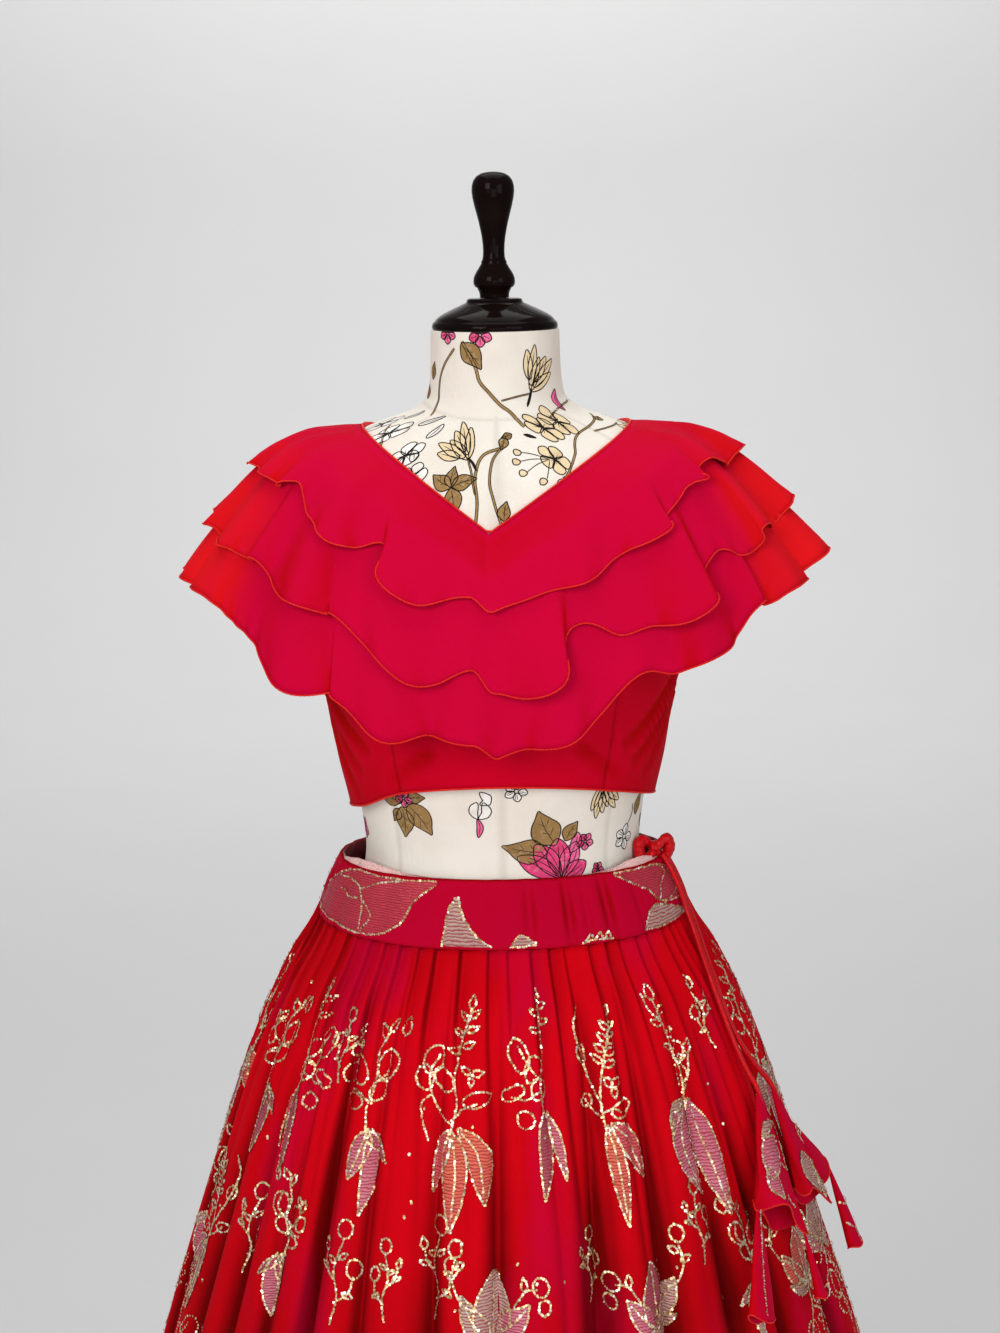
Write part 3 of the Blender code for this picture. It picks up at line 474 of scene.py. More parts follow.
# Pieces
def makePiece(name, points, faces, finish, floats=None, tints=None, uv=None, shade=True):
    mesh = bpy.data.meshes.new(name)
    mesh.from_pydata(np.asarray(points, float).reshape(-1, 3).tolist(), [], faces)
    for attribute, values in (floats or {}).items():
        layer = mesh.attributes.new(attribute, "FLOAT", "POINT")
        layer.data.foreach_set("value", np.asarray(values, np.float32).ravel())
    if tints is not None:
        layer = mesh.attributes.new("tint", "FLOAT_COLOR", "POINT")
        colours = np.ones((len(mesh.vertices), 4), np.float32)
        colours[:, :3] = np.asarray(tints, np.float32)
        layer.data.foreach_set("color", colours.ravel())
    if uv is not None:
        corners = np.empty(len(mesh.loops), np.int32)
        mesh.loops.foreach_get("vertex_index", corners)
        layer = mesh.uv_layers.new(name="cloth")
        layer.data.foreach_set("uv", np.asarray(uv, np.float32)[corners].ravel())
    if shade:
        mesh.shade_smooth()
    mesh.materials.append(finish)
    piece = bpy.data.objects.new(name, mesh)
    bpy.context.scene.collection.objects.link(piece)
    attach(piece, "root")
    return piece


def gridFaces(tall, wide, closed=False, isOpen=None):
    faces = []
    for i in range(tall - 1):
        for j in range(wide if closed else wide - 1):
            if isOpen is None or not isOpen(i, j):
                a, b = i * wide + j, i * wide + (j + 1) % wide
                faces.append((a, a + wide, b + wide, b))
    return faces


def thicken(piece, thickness):
    bpy.ops.object.select_all(action="DESELECT")
    bpy.context.view_layer.objects.active = piece
    piece.select_set(True)
    wall = piece.modifiers.new("cloth thickness", "SOLIDIFY")
    wall.thickness, wall.offset = thickness, -1
    bpy.ops.object.modifier_apply(modifier=wall.name)
    piece.select_set(False)


def gridNormals(grid, closed):
    if closed:
        around = np.roll(grid, -1, axis=1) - np.roll(grid, 1, axis=1)
    else:
        around = np.gradient(grid, axis=1)
    down = np.gradient(grid, axis=0)
    return unit(np.cross(down, around))


def turnedAway(grid, outward, closed=False):
    # 0 where the cloth faces outward, more where it turns away; the cloth's painted shade follows it
    return 1 - (gridNormals(grid, closed) * outward).sum(axis=-1)


def tubeFaces(count, sides, closed):
    faces = []
    for i in range(count if closed else count - 1):
        for k in range(sides):
            a, b = i * sides + k, i * sides + (k + 1) % sides
            c, d = (a + sides) % (count * sides), (b + sides) % (count * sides)
            faces.append((a, b, d, c))
    if not closed:
        faces.append(tuple(reversed(range(sides))))
        faces.append(tuple(range((count - 1) * sides, count * sides)))
    return faces


def tubeAlong(route, radius, sides=6, closed=False, ridges=0.0):
    # points and faces of a tube; ridges swell every other ring, as stitches do
    route = np.asarray(route, float)
    count = len(route)
    if closed:
        along = unit(np.roll(route, -1, axis=0) - np.roll(route, 1, axis=0))
    else:
        along = unit(np.gradient(route, axis=0))
    aside = unit(np.cross(along, np.array([0.02, 0.03, 1.0])))
    up = np.cross(aside, along)
    turns = circle(sides)
    size = np.broadcast_to(np.asarray(radius, float), (count,)) * (1 + ridges * (np.arange(count) % 2))
    ring = aside[:, None] * np.cos(turns)[None, :, None] + up[:, None] * np.sin(turns)[None, :, None]
    points = (route[:, None] + ring * size[:, None, None]).reshape(-1, 3)
    return points, tubeFaces(count, sides, closed)


def threadTube(name, route, radius, sides, ridges=0.0):
    points, faces = tubeAlong(route, radius, sides, True, ridges)
    return makePiece(name, points, faces, edgeThread)


def clothPiece(name, points, faces, finish, turned, thickness, thin=None):
    # a sheet of georgette, given its thickness, in place of its solid; turned carries its painted shade and
    # thin its painted light through one layer
    shades = {"turned": turned, "thin": np.zeros(np.shape(turned)) if thin is None else thin}
    piece = makePiece(name + "_cloth", points, faces, finish, shades)
    thicken(piece, thickness)
    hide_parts(name)
    return piece


def measured(rows):
    # the mean width and the mean length of a grid of cloth
    across = np.linalg.norm(np.diff(rows, axis=1), axis=-1).sum(axis=1).mean()
    down = np.linalg.norm(np.diff(rows, axis=0), axis=-1).sum(axis=0).mean()
    return float(across), float(down)


# The ruffles, one over the other, on the bell that they make of themselves
Flute = namedtuple("Flute", "azimuth spread out drop")
Tuck = namedtuple("Tuck", "azimuth spread over side")
Tier = namedtuple("Tier", "name front side back flutes tucks")
tierRows = [
    (
        "ruffle_bottom", 198, 192, 188,
        [
            (-3.5, 4.5, 0, -8), (-171, 7, 13, 4), (-153, 7, 16, 6), (-135, 7, 12, -4), (-117, 6, 18, 5),
            (-99, 6, 16, 4), (-81, 6, 14, 4), (-63, 6, 11, -3), (-36, 6, 13, 20), (-18, 5, 11, 21),
            (-4.5, 4, 7, 8), (9, 4, 9, 10), (22.5, 5, 4, -17), (36, 5, 12, 1), (49.5, 5, 4, -15),
            (63, 5, 13, -2), (85.5, 7, 29, -2), (103.5, 6, 17, 5), (121.5, 6, 14, -4), (139.5, 7, 16, 5),
            (157.5, 7, 13, -4),
        ],
        [
            (-72, 3, 14, 1), (-28, 2.4, 13, 1), (52, 3, 13, -1), (72, 3.2, 14, -1), (110, 3.5, 15, 1),
            (150, 3.5, 15, -1), (-106, 3.5, 15, -1), (-146, 3.5, 15, 1),
        ],
    ),
    (
        "ruffle_middle", 147, 146, 138,
        [
            (-3.5, 4.5, 0, -9), (-162, 8, 9, 4), (-144, 7, 12, -4), (-121.5, 7, 10, 5), (-103.5, 6, 9, -3),
            (-85.5, 6, 8, 5), (-67.5, 5, 6, 6), (-49.5, 4, 2, -10), (-36, 5, 8, 3), (-27, 3, 1, -9),
            (-13.5, 6, 7, 18), (4.5, 4, 8, 12), (13.5, 4, 2, -24), (31.5, 5, 10, 13), (45, 5, 2, -20),
            (63, 6, 8, -8), (90, 8, 8, -8), (112.5, 7, 9, 4), (135, 7, 11, -3), (157.5, 8, 9, 4),
        ],
        [
            (-53, 2.6, 14, 1), (-29.5, 2.4, 13, 1), (9.5, 2.6, 16, -1), (38, 2.6, 13, -1), (60, 3, 12, -1),
            (100, 3.5, 13, 1), (146, 3.5, 13, -1), (-112, 3.5, 13, -1), (-154, 3.5, 13, 1),
        ],
    ),
    (
        "ruffle_top", 85, 84, 76,
        [
            (-157.5, 9, 6, 3), (-130.5, 8, 8, -3), (-108, 7, 6, 3), (-85.5, 8, 5, 7), (-67.5, 6, 6, 3),
            (-49.5, 5, 2, -16), (-31.5, 4, 8, 7), (-22.5, 3, 1, -12), (-13.5, 5, 5, 20), (0, 5, 3, -3),
            (13.5, 4, 6, 8), (27, 4, 5, 3), (45, 7, 2, -14), (58.5, 6, 4, -15), (85.5, 8, 4, 0),
            (108, 7, 6, 4), (130.5, 8, 8, -3), (157.5, 9, 6, 3),
        ],
        [
            (-57, 3, 12, 1), (-20, 2.5, 16, 1), (34, 2.8, 12, -1), (53, 2.8, 12, -1), (122, 3.5, 12, 1),
            (-120, 3.5, 12, -1),
        ],
    ),
]
tiers = [
    Tier(*row[:4], [Flute(*flute) for flute in row[4]], [Tuck(*tuck) for tuck in row[5]]) for row in tierRows
]
ruffle = {
    "columns": 480, "rows": 28, "thickness": 0.5 * mm, "gapAtNeck": 0.7 * mm, "gap": 3.0 * mm,
    "bellClear": 2.0 * mm, "neckBlend": 45 * mm, "offFormAtNeck": 2.1 * mm, "offForm": 4.5 * mm,
    "offFormBy": 18 * mm, "vAt": -3.5, "softV": 9, "perDegree": 2.6, "roll": 0.88, "tuckOver": 0.54,
    "tuckOut": 0.22, "tuckReach": 2.3, "ripple": 0.9 * mm, "ripplePitch": 5.3, "rippleFrom": 0.86,
    "edgeRadius": 0.62 * mm, "edgeRings": 1300, "besideFrom": 0.72, "besideOver": 0.24, "lightThroughFrom": 0.35,
    "lightThroughOver": 0.4, "lightThroughShares": (0.95, 0.75, 0.35),
}


def tierLength(tier, azimuth):
    ahead = cosine(azimuth)
    end = np.where(ahead > 0, tier.front, tier.back)
    length = tier.side + (end - tier.side) * ahead**2
    # the hem is rounder in front than the V of the neckline that it hangs from
    fromV = np.abs(turnBetween(azimuth, ruffle["vAt"]))
    length = length - ruffle["perDegree"] * (np.hypot(fromV, ruffle["softV"]) - fromV)
    return (length + sum(f.drop * bump(azimuth, f.azimuth, f.spread) for f in tier.flutes)) * mm


def ruffleGrid(index, azimuth):
    r, tier = ruffle, tiers[index]
    share = np.linspace(0.004, 1.0, r["rows"])[:, None] ** 0.9
    distance = share * tierLength(tier, azimuth)[None, :]
    onBell, outBell = fallLines(bell, azimuth, distance)
    onForm, outForm = fallLines(form, azimuth, distance)
    blend = smoothStep(distance / r["neckBlend"])[..., None]
    atNeck = smoothStep(distance / r["offFormBy"])[..., None]
    offForm = r["offFormAtNeck"] + (r["offForm"] - r["offFormAtNeck"]) * atNeck
    place = (onForm + outForm * offForm) * (1 - blend) + (onBell + outBell * r["bellClear"]) * blend
    out = unit(outForm * (1 - blend) + outBell * blend)
    gap = r["gapAtNeck"] + (r["gap"] - r["gapAtNeck"]) * smoothStep(distance / r["neckBlend"])
    offset, aside = np.zeros_like(distance), np.zeros_like(distance)
    for number, lower in enumerate(tiers[: index + 1]):
        gone = np.minimum(1.0, distance / tierLength(lower, azimuth)[None, :]) ** 1.5
        for f in lower.flutes:
            turn = turnBetween(azimuth, f.azimuth)[None, :]
            crest = np.exp(-((turn / f.spread) ** 2))
            offset += f.out * mm * crest * gone
            if number == index:
                aside += r["roll"] * f.out * mm * crest * gone**2 * turn / f.spread
        if number:
            offset += gap
    # tucks: the hem folds back on itself in an S, one side in front of the other
    gone = np.minimum(1.0, distance / tierLength(tier, azimuth)[None, :])
    for t in tier.tucks:
        turn = turnBetween(azimuth, t.azimuth)[None, :] / t.spread
        wave = turn * np.exp(0.5 - turn**2 / 2)
        aside -= r["tuckOver"] * t.over * mm * wave * gone**2.6
        near = np.exp(-((turn / r["tuckReach"]) ** 2))
        offset += r["tuckOut"] * t.over * mm * (1 + t.side * wave) * near * gone**2
    # a small ripple from the tight sewing runs along the edge
    turn = np.radians(azimuth)
    wander = np.sin(turn * 360 / r["ripplePitch"] + 2.1 * np.sin(turn * 7 + index))
    offset += r["ripple"] * wander[None, :] * smoothStep((share - r["rippleFrom"]) / (1 - r["rippleFrom"]))
    around = unit(np.cross(np.array([0.0, 0.0, 1.0]), out))
    return place + out * offset[..., None] + around * aside[..., None], out


for index, tier in enumerate(tiers):
    azimuth = evenTurns(ruffle["columns"])
    grid, out = ruffleGrid(index, azimuth)
    share = np.linspace(0.0, 1.0, ruffle["rows"])[:, None]
    beside = smoothStep((np.abs(sine(azimuth)) - ruffle["besideFrom"]) / ruffle["besideOver"])[None, :]
    # what hangs free of the body at the sides is one layer, given painted light shining through it: more so
    # on the lower tiers
    free = smoothStep((share - ruffle["lightThroughFrom"]) / ruffle["lightThroughOver"])
    thin = beside * free * ruffle["lightThroughShares"][index]
    # painted shade where the cloth turns away from the body, and a little more at the sides
    turned = np.clip(turnedAway(grid, out, True) * 4.5 + 0.15 * beside, 0, 1)
    faces = gridFaces(*grid.shape[:2], True)
    piece = clothPiece(tier.name, grid, faces, ruffleCloth, turned, ruffle["thickness"], thin)
    around = np.append(azimuth, 180.0)
    hem = readAlong(evenTurns(ruffle["edgeRings"]), around, np.vstack([grid[-1], grid[-1, :1]]))
    edge = threadTube(tier.name + "_serged_edge", hem, ruffle["edgeRadius"], 5, 0.3)
    wide, long = measured(grid)
    print(tier.name, "flat", round(wide, 3), round(long, 3))

# The choli: five panels that meet at seams, with the armholes left open under the ruffles
bodice = {
    "seams": {
        "choli_front_centre": (-36, 36), "choli_front_right": (36, 90), "choli_back_right": (90, 180),
        "choli_back_left": (180, 270), "choli_front_left": (270, 324),
    },
    "step": 1.5, "thickness": 0.9 * mm, "clearAtNeck": 1.0 * mm, "clear": 4.6 * mm, "hemEase": 4.5 * mm,
    "hemSide": 1080 * mm, "hemRise": 31 * mm, "hemLift": 8 * mm, "liftFrom": -62, "liftTo": 110,
    "liftOver": 30, "armholeHalf": 36, "armholeMiddle": 1310 * mm, "armholeHalfHeight": 61 * mm,
    "armholeEnd": 15 * mm, "rollRadius": 0.9 * mm, "creaseDeeper": 2.8, "seamWide": 0.55,
    "seamDeep": 0.7 * mm, "perDegree": 2.4, "easeFrom": 1200 * mm, "easeOver": 120 * mm, "rowsAbove": 8,
    "rowsOfArmhole": 8, "rowsBelow": 26, "armholeTop": 1225 * mm,
}
Crease = namedtuple("Crease", "azimuth height toAzimuth toHeight wide deep")
bodiceCreases = [Crease(*row) for row in [
    (78, 1205, 44, 1150, 5, 1.6), (80, 1190, 50, 1132, 4, 1.3), (76, 1170, 58, 1118, 4, 1.0),
    (-80, 1200, -50, 1146, 5, 1.5), (-82, 1180, -56, 1126, 4, 1.1), (-74, 1150, -62, 1100, 5, 1.0),
    (24, 1150, 40, 1122, 5, 0.8), (-22, 1146, -38, 1120, 5, 0.8), (96, 1190, 130, 1150, 6, 1.3),
    (264, 1190, 232, 1148, 6, 1.3), (176, 1240, 150, 1180, 7, 1.0), (184, 1240, 212, 1180, 7, 1.0),
]]


def armholeEdge(azimuth, side):
    b = bodice
    away = np.minimum(1.0, np.abs(np.abs(turnBetween(azimuth, 0)) - 90) / b["armholeHalf"])
    half = b["armholeEnd"] + (b["armholeHalfHeight"] - b["armholeEnd"]) * (1 - away**2)
    return b["armholeMiddle"] + side * half


def bodiceSunk(azimuth, height):
    # how deep the drag creases are, with a low ridge on each side
    sunk = np.zeros(np.broadcast(azimuth, height).shape)
    for c in bodiceCreases:
        spanX, spanZ = turnBetween(c.toAzimuth, c.azimuth) * bodice["perDegree"], c.toHeight - c.height
        x, z = turnBetween(azimuth, c.azimuth) * bodice["perDegree"], height / mm - c.height
        along = np.clip((x * spanX + z * spanZ) / (spanX**2 + spanZ**2), 0, 1)
        gap = np.hypot(x - along * spanX, z - along * spanZ)
        groove = bodice["creaseDeeper"] * np.exp(-((gap / c.wide) ** 2))
        ridge = np.exp(-(((gap - 2.2 * c.wide) / c.wide) ** 2))
        sunk += c.deep * mm * (groove - ridge) * (1 - 0.6 * along)
    return sunk


def bodiceSurface(azimuth, height, top):
    b = bodice
    reach = (12 + 24 * np.abs(cosine(azimuth))) * mm
    clear = b["clearAtNeck"] + (b["clear"] - b["clearAtNeck"]) * smoothStep((top - height) / reach)
    ease = b["hemEase"] * smoothStep((b["easeFrom"] - height) / b["easeOver"])
    seams = sum(bump(azimuth, end, b["seamWide"]) for _, end in b["seams"].values()) * b["seamDeep"]
    out = form.outward(azimuth, height)
    sunk = seams + bodiceSunk(azimuth, height)
    return form.point(azimuth, height) + out * (clear + ease - sunk)[..., None]


def bodiceHem(azimuth):
    b = bodice
    ahead, turn = np.maximum(0.0, cosine(azimuth)), turnBetween(azimuth, 0)
    begins, ends = (turn - b["liftFrom"]) / b["liftOver"], (b["liftTo"] - turn) / b["liftOver"]
    lifted = b["hemLift"] * smoothStep(begins) * smoothStep(ends)
    return b["hemSide"] + b["hemRise"] * ahead**1.4 + lifted


def bodiceGrid(azimuth):
    top = necklineHeight(form, azimuth) - 0.3 * mm
    span = top - bodice["armholeTop"]
    away = np.abs(np.abs(turnBetween(azimuth, 0)) - 90) / bodice["armholeHalf"]
    inside = 1 - smoothStep((away - 1.0) / 0.6)
    high = inside * armholeEdge(azimuth, 1) + (1 - inside) * (top - 0.35 * span)
    low = inside * armholeEdge(azimuth, -1) + (1 - inside) * (top - 0.6 * span)
    hem = bodiceHem(azimuth)
    lines, counts = [top, high, low, hem], ("rowsAbove", "rowsOfArmhole", "rowsBelow")
    heights = []
    for a, b, count in zip(lines, lines[1:], counts):
        heights.append(a + (b - a) * np.linspace(0, 1, bodice[count], endpoint=False)[:, None])
    heights = np.concatenate(heights + [hem[None, :]])
    return bodiceSurface(np.broadcast_to(azimuth, heights.shape), heights, top)


for name, (start, end) in bodice["seams"].items():
    azimuth = np.arange(start, end + 0.01, bodice["step"])
    grid = bodiceGrid(azimuth)
    middles = (azimuth[1:] + azimuth[:-1]) / 2
    inArmhole = np.abs(np.abs(turnBetween(middles, 0)) - 90) < bodice["armholeHalf"]
    first, last = bodice["rowsAbove"], bodice["rowsAbove"] + bodice["rowsOfArmhole"]
    faces = gridFaces(*grid.shape[:2], isOpen=lambda i, j: first <= i < last and inArmhole[j])
    used = sorted({k for face in faces for k in face})
    number = {k: n for n, k in enumerate(used)}
    faces = [tuple(number[k] for k in face) for face in faces]
    smoothOut = form.outward(np.broadcast_to(azimuth, grid.shape[:2]), grid[..., 2])
    # painted shade where the cloth turns away, more towards the sides, and in the drag creases
    turned = 0.6 * np.clip(turnedAway(grid, smoothOut) * 9, 0, 1)
    turned = turned + 0.55 * np.abs(sine(azimuth))[None, :] ** 1.4
    turned = np.clip(turned + bodiceSunk(azimuth[None, :], grid[..., 2]) / (4 * mm), 0, 1).ravel()[used]
    piece = clothPiece(name, grid.reshape(-1, 3)[used], faces, bodiceCloth, turned, bodice["thickness"])
    wide, long = measured(grid)
    area = sum(p.area for p in piece.data.polygons) / 2
    wide, long = wide * 1.1, long * 1.1
    round(min(area * 1.02, wide * long / 1.21 * 1.2), 4)

# Rolled edges of the choli: its hem, its two armholes and the bright piping of the V neck
around = evenTurns(360, 0)
top = necklineHeight(form, around)
hemRoute = bodiceSurface(around, bodiceHem(around) + 0.4 * mm, top)
threadTube("choli_hem_roll", hemRoute, bodice["rollRadius"], 8)
sweep = np.linspace(-35.5, 35.5, 48)
for side, name in ((90, "choli_armhole_roll_right"), (-90, "choli_armhole_roll_left")):
    edge = np.concatenate([side + sweep, side + sweep[::-1]])
    heights = np.concatenate([armholeEdge(side + sweep, 1), armholeEdge(side + sweep[::-1], -1)])
    threadTube(name, bodiceSurface(edge, heights, necklineHeight(form, edge)), bodice["rollRadius"], 6)

piping = {"near": 0.5 * mm, "far": 4.1 * mm, "halfTall": 1.15 * mm, "rise": 0.5 * mm, "sides": 10}
place, out = form.point(around, top), form.outward(around, top)
up = unit(form.point(around, top + 1 * mm) - place)
turns = circle(piping["sides"])
middle, half = (piping["near"] + piping["far"]) / 2, (piping["far"] - piping["near"]) / 2
ring = out[:, None] * (middle + half * np.cos(turns))[None, :, None]
ring = ring + up[:, None] * (piping["rise"] + piping["halfTall"] * np.sin(turns))[None, :, None]
faces = tubeFaces(len(around), piping["sides"], True)
piece = makePiece("neck_piping", place[:, None] + ring, faces, edgeThread)
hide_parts("neck_binding")
print("choli made")

# The waistband, gathered a little by its drawstring, and the net lining that shows above it
waist = {
    "top": 1034.5 * mm, "bottom": 987 * mm, "columns": 540, "rows": 18, "thickness": 1.3 * mm,
    "roll": 1.4 * mm, "creaseDeeper": 1.8,
    "creases": [
        (-62, 1.6, 2.2), (-40, 1.0, 3.0), (-14, 0.7, 3.5), (7, 1.3, 1.6), (19, 1.6, 1.6), (25, 0.9, 1.4),
        (33, 1.8, 2.0), (47, 1.1, 2.4), (78.6, 2.2, 0.7), (98, 1.4, 2.0), (118, 1.2, 2.6),
        (141, 1.5, 2.2), (163, 1.1, 2.4), (184, 1.4, 2.2), (206, 1.2, 2.6), (228, 1.5, 2.0),
        (251, 1.1, 2.6), (277, 1.4, 2.2),
    ],
    "liningInset": 2.5 * mm, "liningShows": ((-56, 20), (54, 14)), "liningRise": 7 * mm,
    "liningBottom": 989 * mm, "liningRows": 12, "liningWall": 0.4 * mm, "paleFrom": 1020 * mm,
    "paleOver": 10 * mm,
}


def bandSunk(azimuth, share):
    deeper = waist["creaseDeeper"] * mm
    sunk = sum(deeper * deep * bump(azimuth, place, wide) for place, deep, wide in waist["creases"])
    return sunk * (0.35 + 0.65 * np.sin(np.pi * np.clip(share, 0, 1)))


def bandShare(height):
    return (waist["top"] - height) / (waist["top"] - waist["bottom"])


def bandSurface(azimuth, height):
    share, turn = bandShare(height), np.radians(azimuth)
    # the cloth rolls over at its upper edge
    atTop = waist["roll"] * (1 - np.sqrt(np.clip(1 - (1 - np.clip(share / 0.05, 0, 1)) ** 2, 0, 1)))
    ripple = 0.35 * mm * np.sin(turn * 41 + 2 * np.sin(turn * 5)) * (1 - share)
    sunk = bandSunk(azimuth, share) + atTop - ripple
    return band.point(azimuth, height) - band.level(azimuth, height) * sunk[..., None]


azimuth = evenTurns(waist["columns"])
shares = np.concatenate([[0, 0.012, 0.03, 0.05], np.linspace(0.09, 1, waist["rows"] - 4)])[:, None]
heights = waist["top"] - shares * (waist["top"] - waist["bottom"])
heights, turns = np.broadcast_arrays(heights, azimuth[None, :])
grid = bandSurface(turns, heights)
# painted shade in the band's creases and where its top rolls over
turned = np.clip(turnedAway(grid, band.outward(turns, heights), True) * 11, 0, 1)
faces = gridFaces(*grid.shape[:2], True)
piece = clothPiece("waistband", grid, faces, bandCloth, turned, waist["thickness"])
wide, long = measured(grid)

rise = sum(bump(azimuth, place, wide) for place, wide in waist["liningShows"]) * waist["liningRise"]
top = (waist["top"] + rise - 0.3 * mm)[None, :]
heights = top + (waist["liningBottom"] - top) * np.linspace(0, 1, waist["liningRows"])[:, None]
turns = np.broadcast_to(azimuth, heights.shape)
lower = np.minimum(heights, waist["top"])
inset = waist["liningInset"] + 0.25 * mm * np.sin(np.radians(turns) * 33) + bandSunk(turns, bandShare(lower))
grid = band.point(turns, lower) - band.level(turns, lower) * inset[..., None]
grid[..., 2] = heights
standing = np.clip(rise / (waist["liningRise"] * 0.4), 0, 1)
standing = standing * smoothStep((heights - waist["paleFrom"]) / waist["paleOver"])
faces = gridFaces(*grid.shape[:2], True)
piece = makePiece("waist_lining_net", grid, faces, liningNet, {"thin": standing})
thicken(piece, waist["liningWall"])
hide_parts("waist_lining")
wide, long = measured(grid)

# The skirt: knife pleats at the band, which open into deep, uneven folds
pleated = {
    "pleats": 62, "samples": 13, "rows": 62, "rowsCloser": 1.25, "thickness": 0.8 * mm,
    "valley": (0.14, 0.42), "depth": 6.5 * mm, "depthFades": 90 * mm, "trace": 5.2 * mm,
    "traceFrom": 50 * mm, "folds": 29, "foldDepth": 62 * mm, "foldFrom": 90 * mm, "cusp": 2.4,
    "shadeFrom": 130 * mm, "shadeOver": 160 * mm, "shade": 0.30,
}


def unevenEdges(count):
    widths = 0.62 + 0.76 * luck.random(count)
    return np.concatenate([[0], np.cumsum(widths)]) * 360 / widths.sum()


pleatEdges, foldEdges = unevenEdges(pleated["pleats"]), unevenEdges(pleated["folds"])
pleatLuck, foldLuck = luck.random((pleated["pleats"], 3)), luck.random((pleated["folds"] + 1, 3))
foldLuck[-1] = foldLuck[0]


def among(edges, degrees):
    # which stretch between the edges, and how far along it
    degrees = degrees % 360
    index = np.clip(np.searchsorted(edges, degrees, side="right") - 1, 0, len(edges) - 2)
    return index, (degrees - edges[index]) / (edges[index + 1] - edges[index])


def skirtFolds(azimuth, height):
    # how far the cloth is sunk, and how shaded its hollow is
    p = pleated
    down = skirt.heights[-1] - height
    turn = np.radians(azimuth)
    # the pleats wander sideways and the folds lean, by a few degrees
    wander = 1.3 * smoothStep(down / (300 * mm)) * np.sin(5 * turn + 9 * down + 1.3) * np.sin(11 * turn)
    index, partWay = among(pleatEdges, azimuth + 180 + wander)
    each = pleatLuck[index]
    low, high = p["valley"]
    valleyAt = low + (high - low) * smoothStep(down / (200 * mm))
    inward = np.where(partWay < valleyAt, partWay / valleyAt, (1 - partWay) / (1 - valleyAt))
    inward = inward ** (1.0 + 0.9 * smoothStep(down / p["depthFades"]))
    fade = (110 + 420 * each[..., 0] ** 2) * mm
    strength = p["depth"] * (0.5 + 0.7 * each[..., 1]) * np.exp(-down / p["depthFades"])
    trace = p["trace"] * (0.25 + each[..., 2]) * np.exp(-down / fade)
    strength = strength + trace * smoothStep(down / p["traceFrom"])
    lean = 2.6 * np.sin(2 * turn + 0.6 + 2.2 * down) + 1.6 * np.sin(5 * turn + 2.1 - 3.0 * down)
    number, along = among(foldEdges, azimuth + 180 + lean)
    away = np.abs(along * 2 - 1)
    nearest = foldLuck[number + (along > 0.5)]
    share = np.clip((down - p["foldFrom"] * nearest[..., 1]) / (skirt.heights[-1] - skirt.heights[0]), 0, 1)
    valley = away ** (p["cusp"] + 1.6 * nearest[..., 2])
    folded = p["foldDepth"] * (0.45 + 0.65 * nearest[..., 0]) * share**0.68 * valley
    shaded = inward * strength / (4.5 * mm) * 0.06
    shaded = shaded + valley**1.3 * np.clip(share * 3.4, 0, 1) * (0.35 + 0.6 * nearest[..., 0])
    # painted shade that grows towards the hem
    shaded = shaded + p["shade"] * smoothStep((down - p["shadeFrom"]) / p["shadeOver"])
    return strength * inward + folded, np.clip(shaded, 0, 1)


def skirtSurface(azimuth, height):
    sunk, _ = skirtFolds(azimuth, height)
    return skirt.point(azimuth, height) - skirt.level(azimuth, height) * sunk[..., None]


def skirtNormal(azimuth, height):
    around = skirtSurface(azimuth + 0.2, height) - skirtSurface(azimuth - 0.2, height)
    down = skirtSurface(azimuth, height - 1 * mm) - skirtSurface(azimuth, height + 1 * mm)
    return unit(np.cross(down, around))


skirtShares = np.linspace(0, 1, pleated["rows"])[:, None] ** pleated["rowsCloser"]
skirtHeights = skirt.heights[-1] - skirtShares * (skirt.heights[-1] - skirt.heights[0])
for name, start, end in (("skirt_front", -90, 90), ("skirt_back", 90, 270)):
    azimuth = np.linspace(start, end, pleated["pleats"] * pleated["samples"] // 2 + 1)
    heights, turns = np.broadcast_arrays(skirtHeights, azimuth[None, :])
    grid = skirtSurface(turns, heights)
    # painted shade where the pleats and folds turn away and in their hollows
    turned = turnedAway(grid, skirt.outward(turns, heights)) * 1.3 + skirtFolds(turns, heights)[1] * 0.85
    faces = gridFaces(*grid.shape[:2])
    piece = clothPiece(name, grid, faces, skirtCloth, np.clip(turned, 0, 1), pleated["thickness"])
    wide, long = measured(grid)
    print(name, "flat", round(wide, 2), round(long, 2))

# The dress form: a padded torso under a cotton cover, with a turned cap and handle on its neck
cover = {
    "columns": 160, "rows": 120, "seams": (0, 45, 90, 135, 180, -45, -90, -135), "seamWide": 0.55,
    "seamDeep": 0.45 * mm, "collar": 1412 * mm, "neckSeam": 1421 * mm, "neckSeamDip": 12 * mm,
    "neckSeamWide": 1.1 * mm, "swell": 0.25 * mm,
}


def coverSeam(azimuth, height):
    lines = sum(bump(azimuth, s, cover["seamWide"]) for s in cover["seams"]) * (height < cover["collar"])
    ring = cover["neckSeam"] - cover["neckSeamDip"] * np.maximum(0, cosine(azimuth)) ** 2
    collar = np.exp(-(((height - ring) / cover["neckSeamWide"]) ** 2))
    return np.clip(lines + collar, 0, 1)


def coverSurface(azimuth, height):
    puff = cover["swell"] * np.sin(np.radians(azimuth) * 8) ** 2
    sunk = cover["seamDeep"] * coverSeam(azimuth, height) - puff
    return form.point(azimuth, height) - form.outward(azimuth, height) * sunk[..., None]


azimuth = evenTurns(cover["columns"])
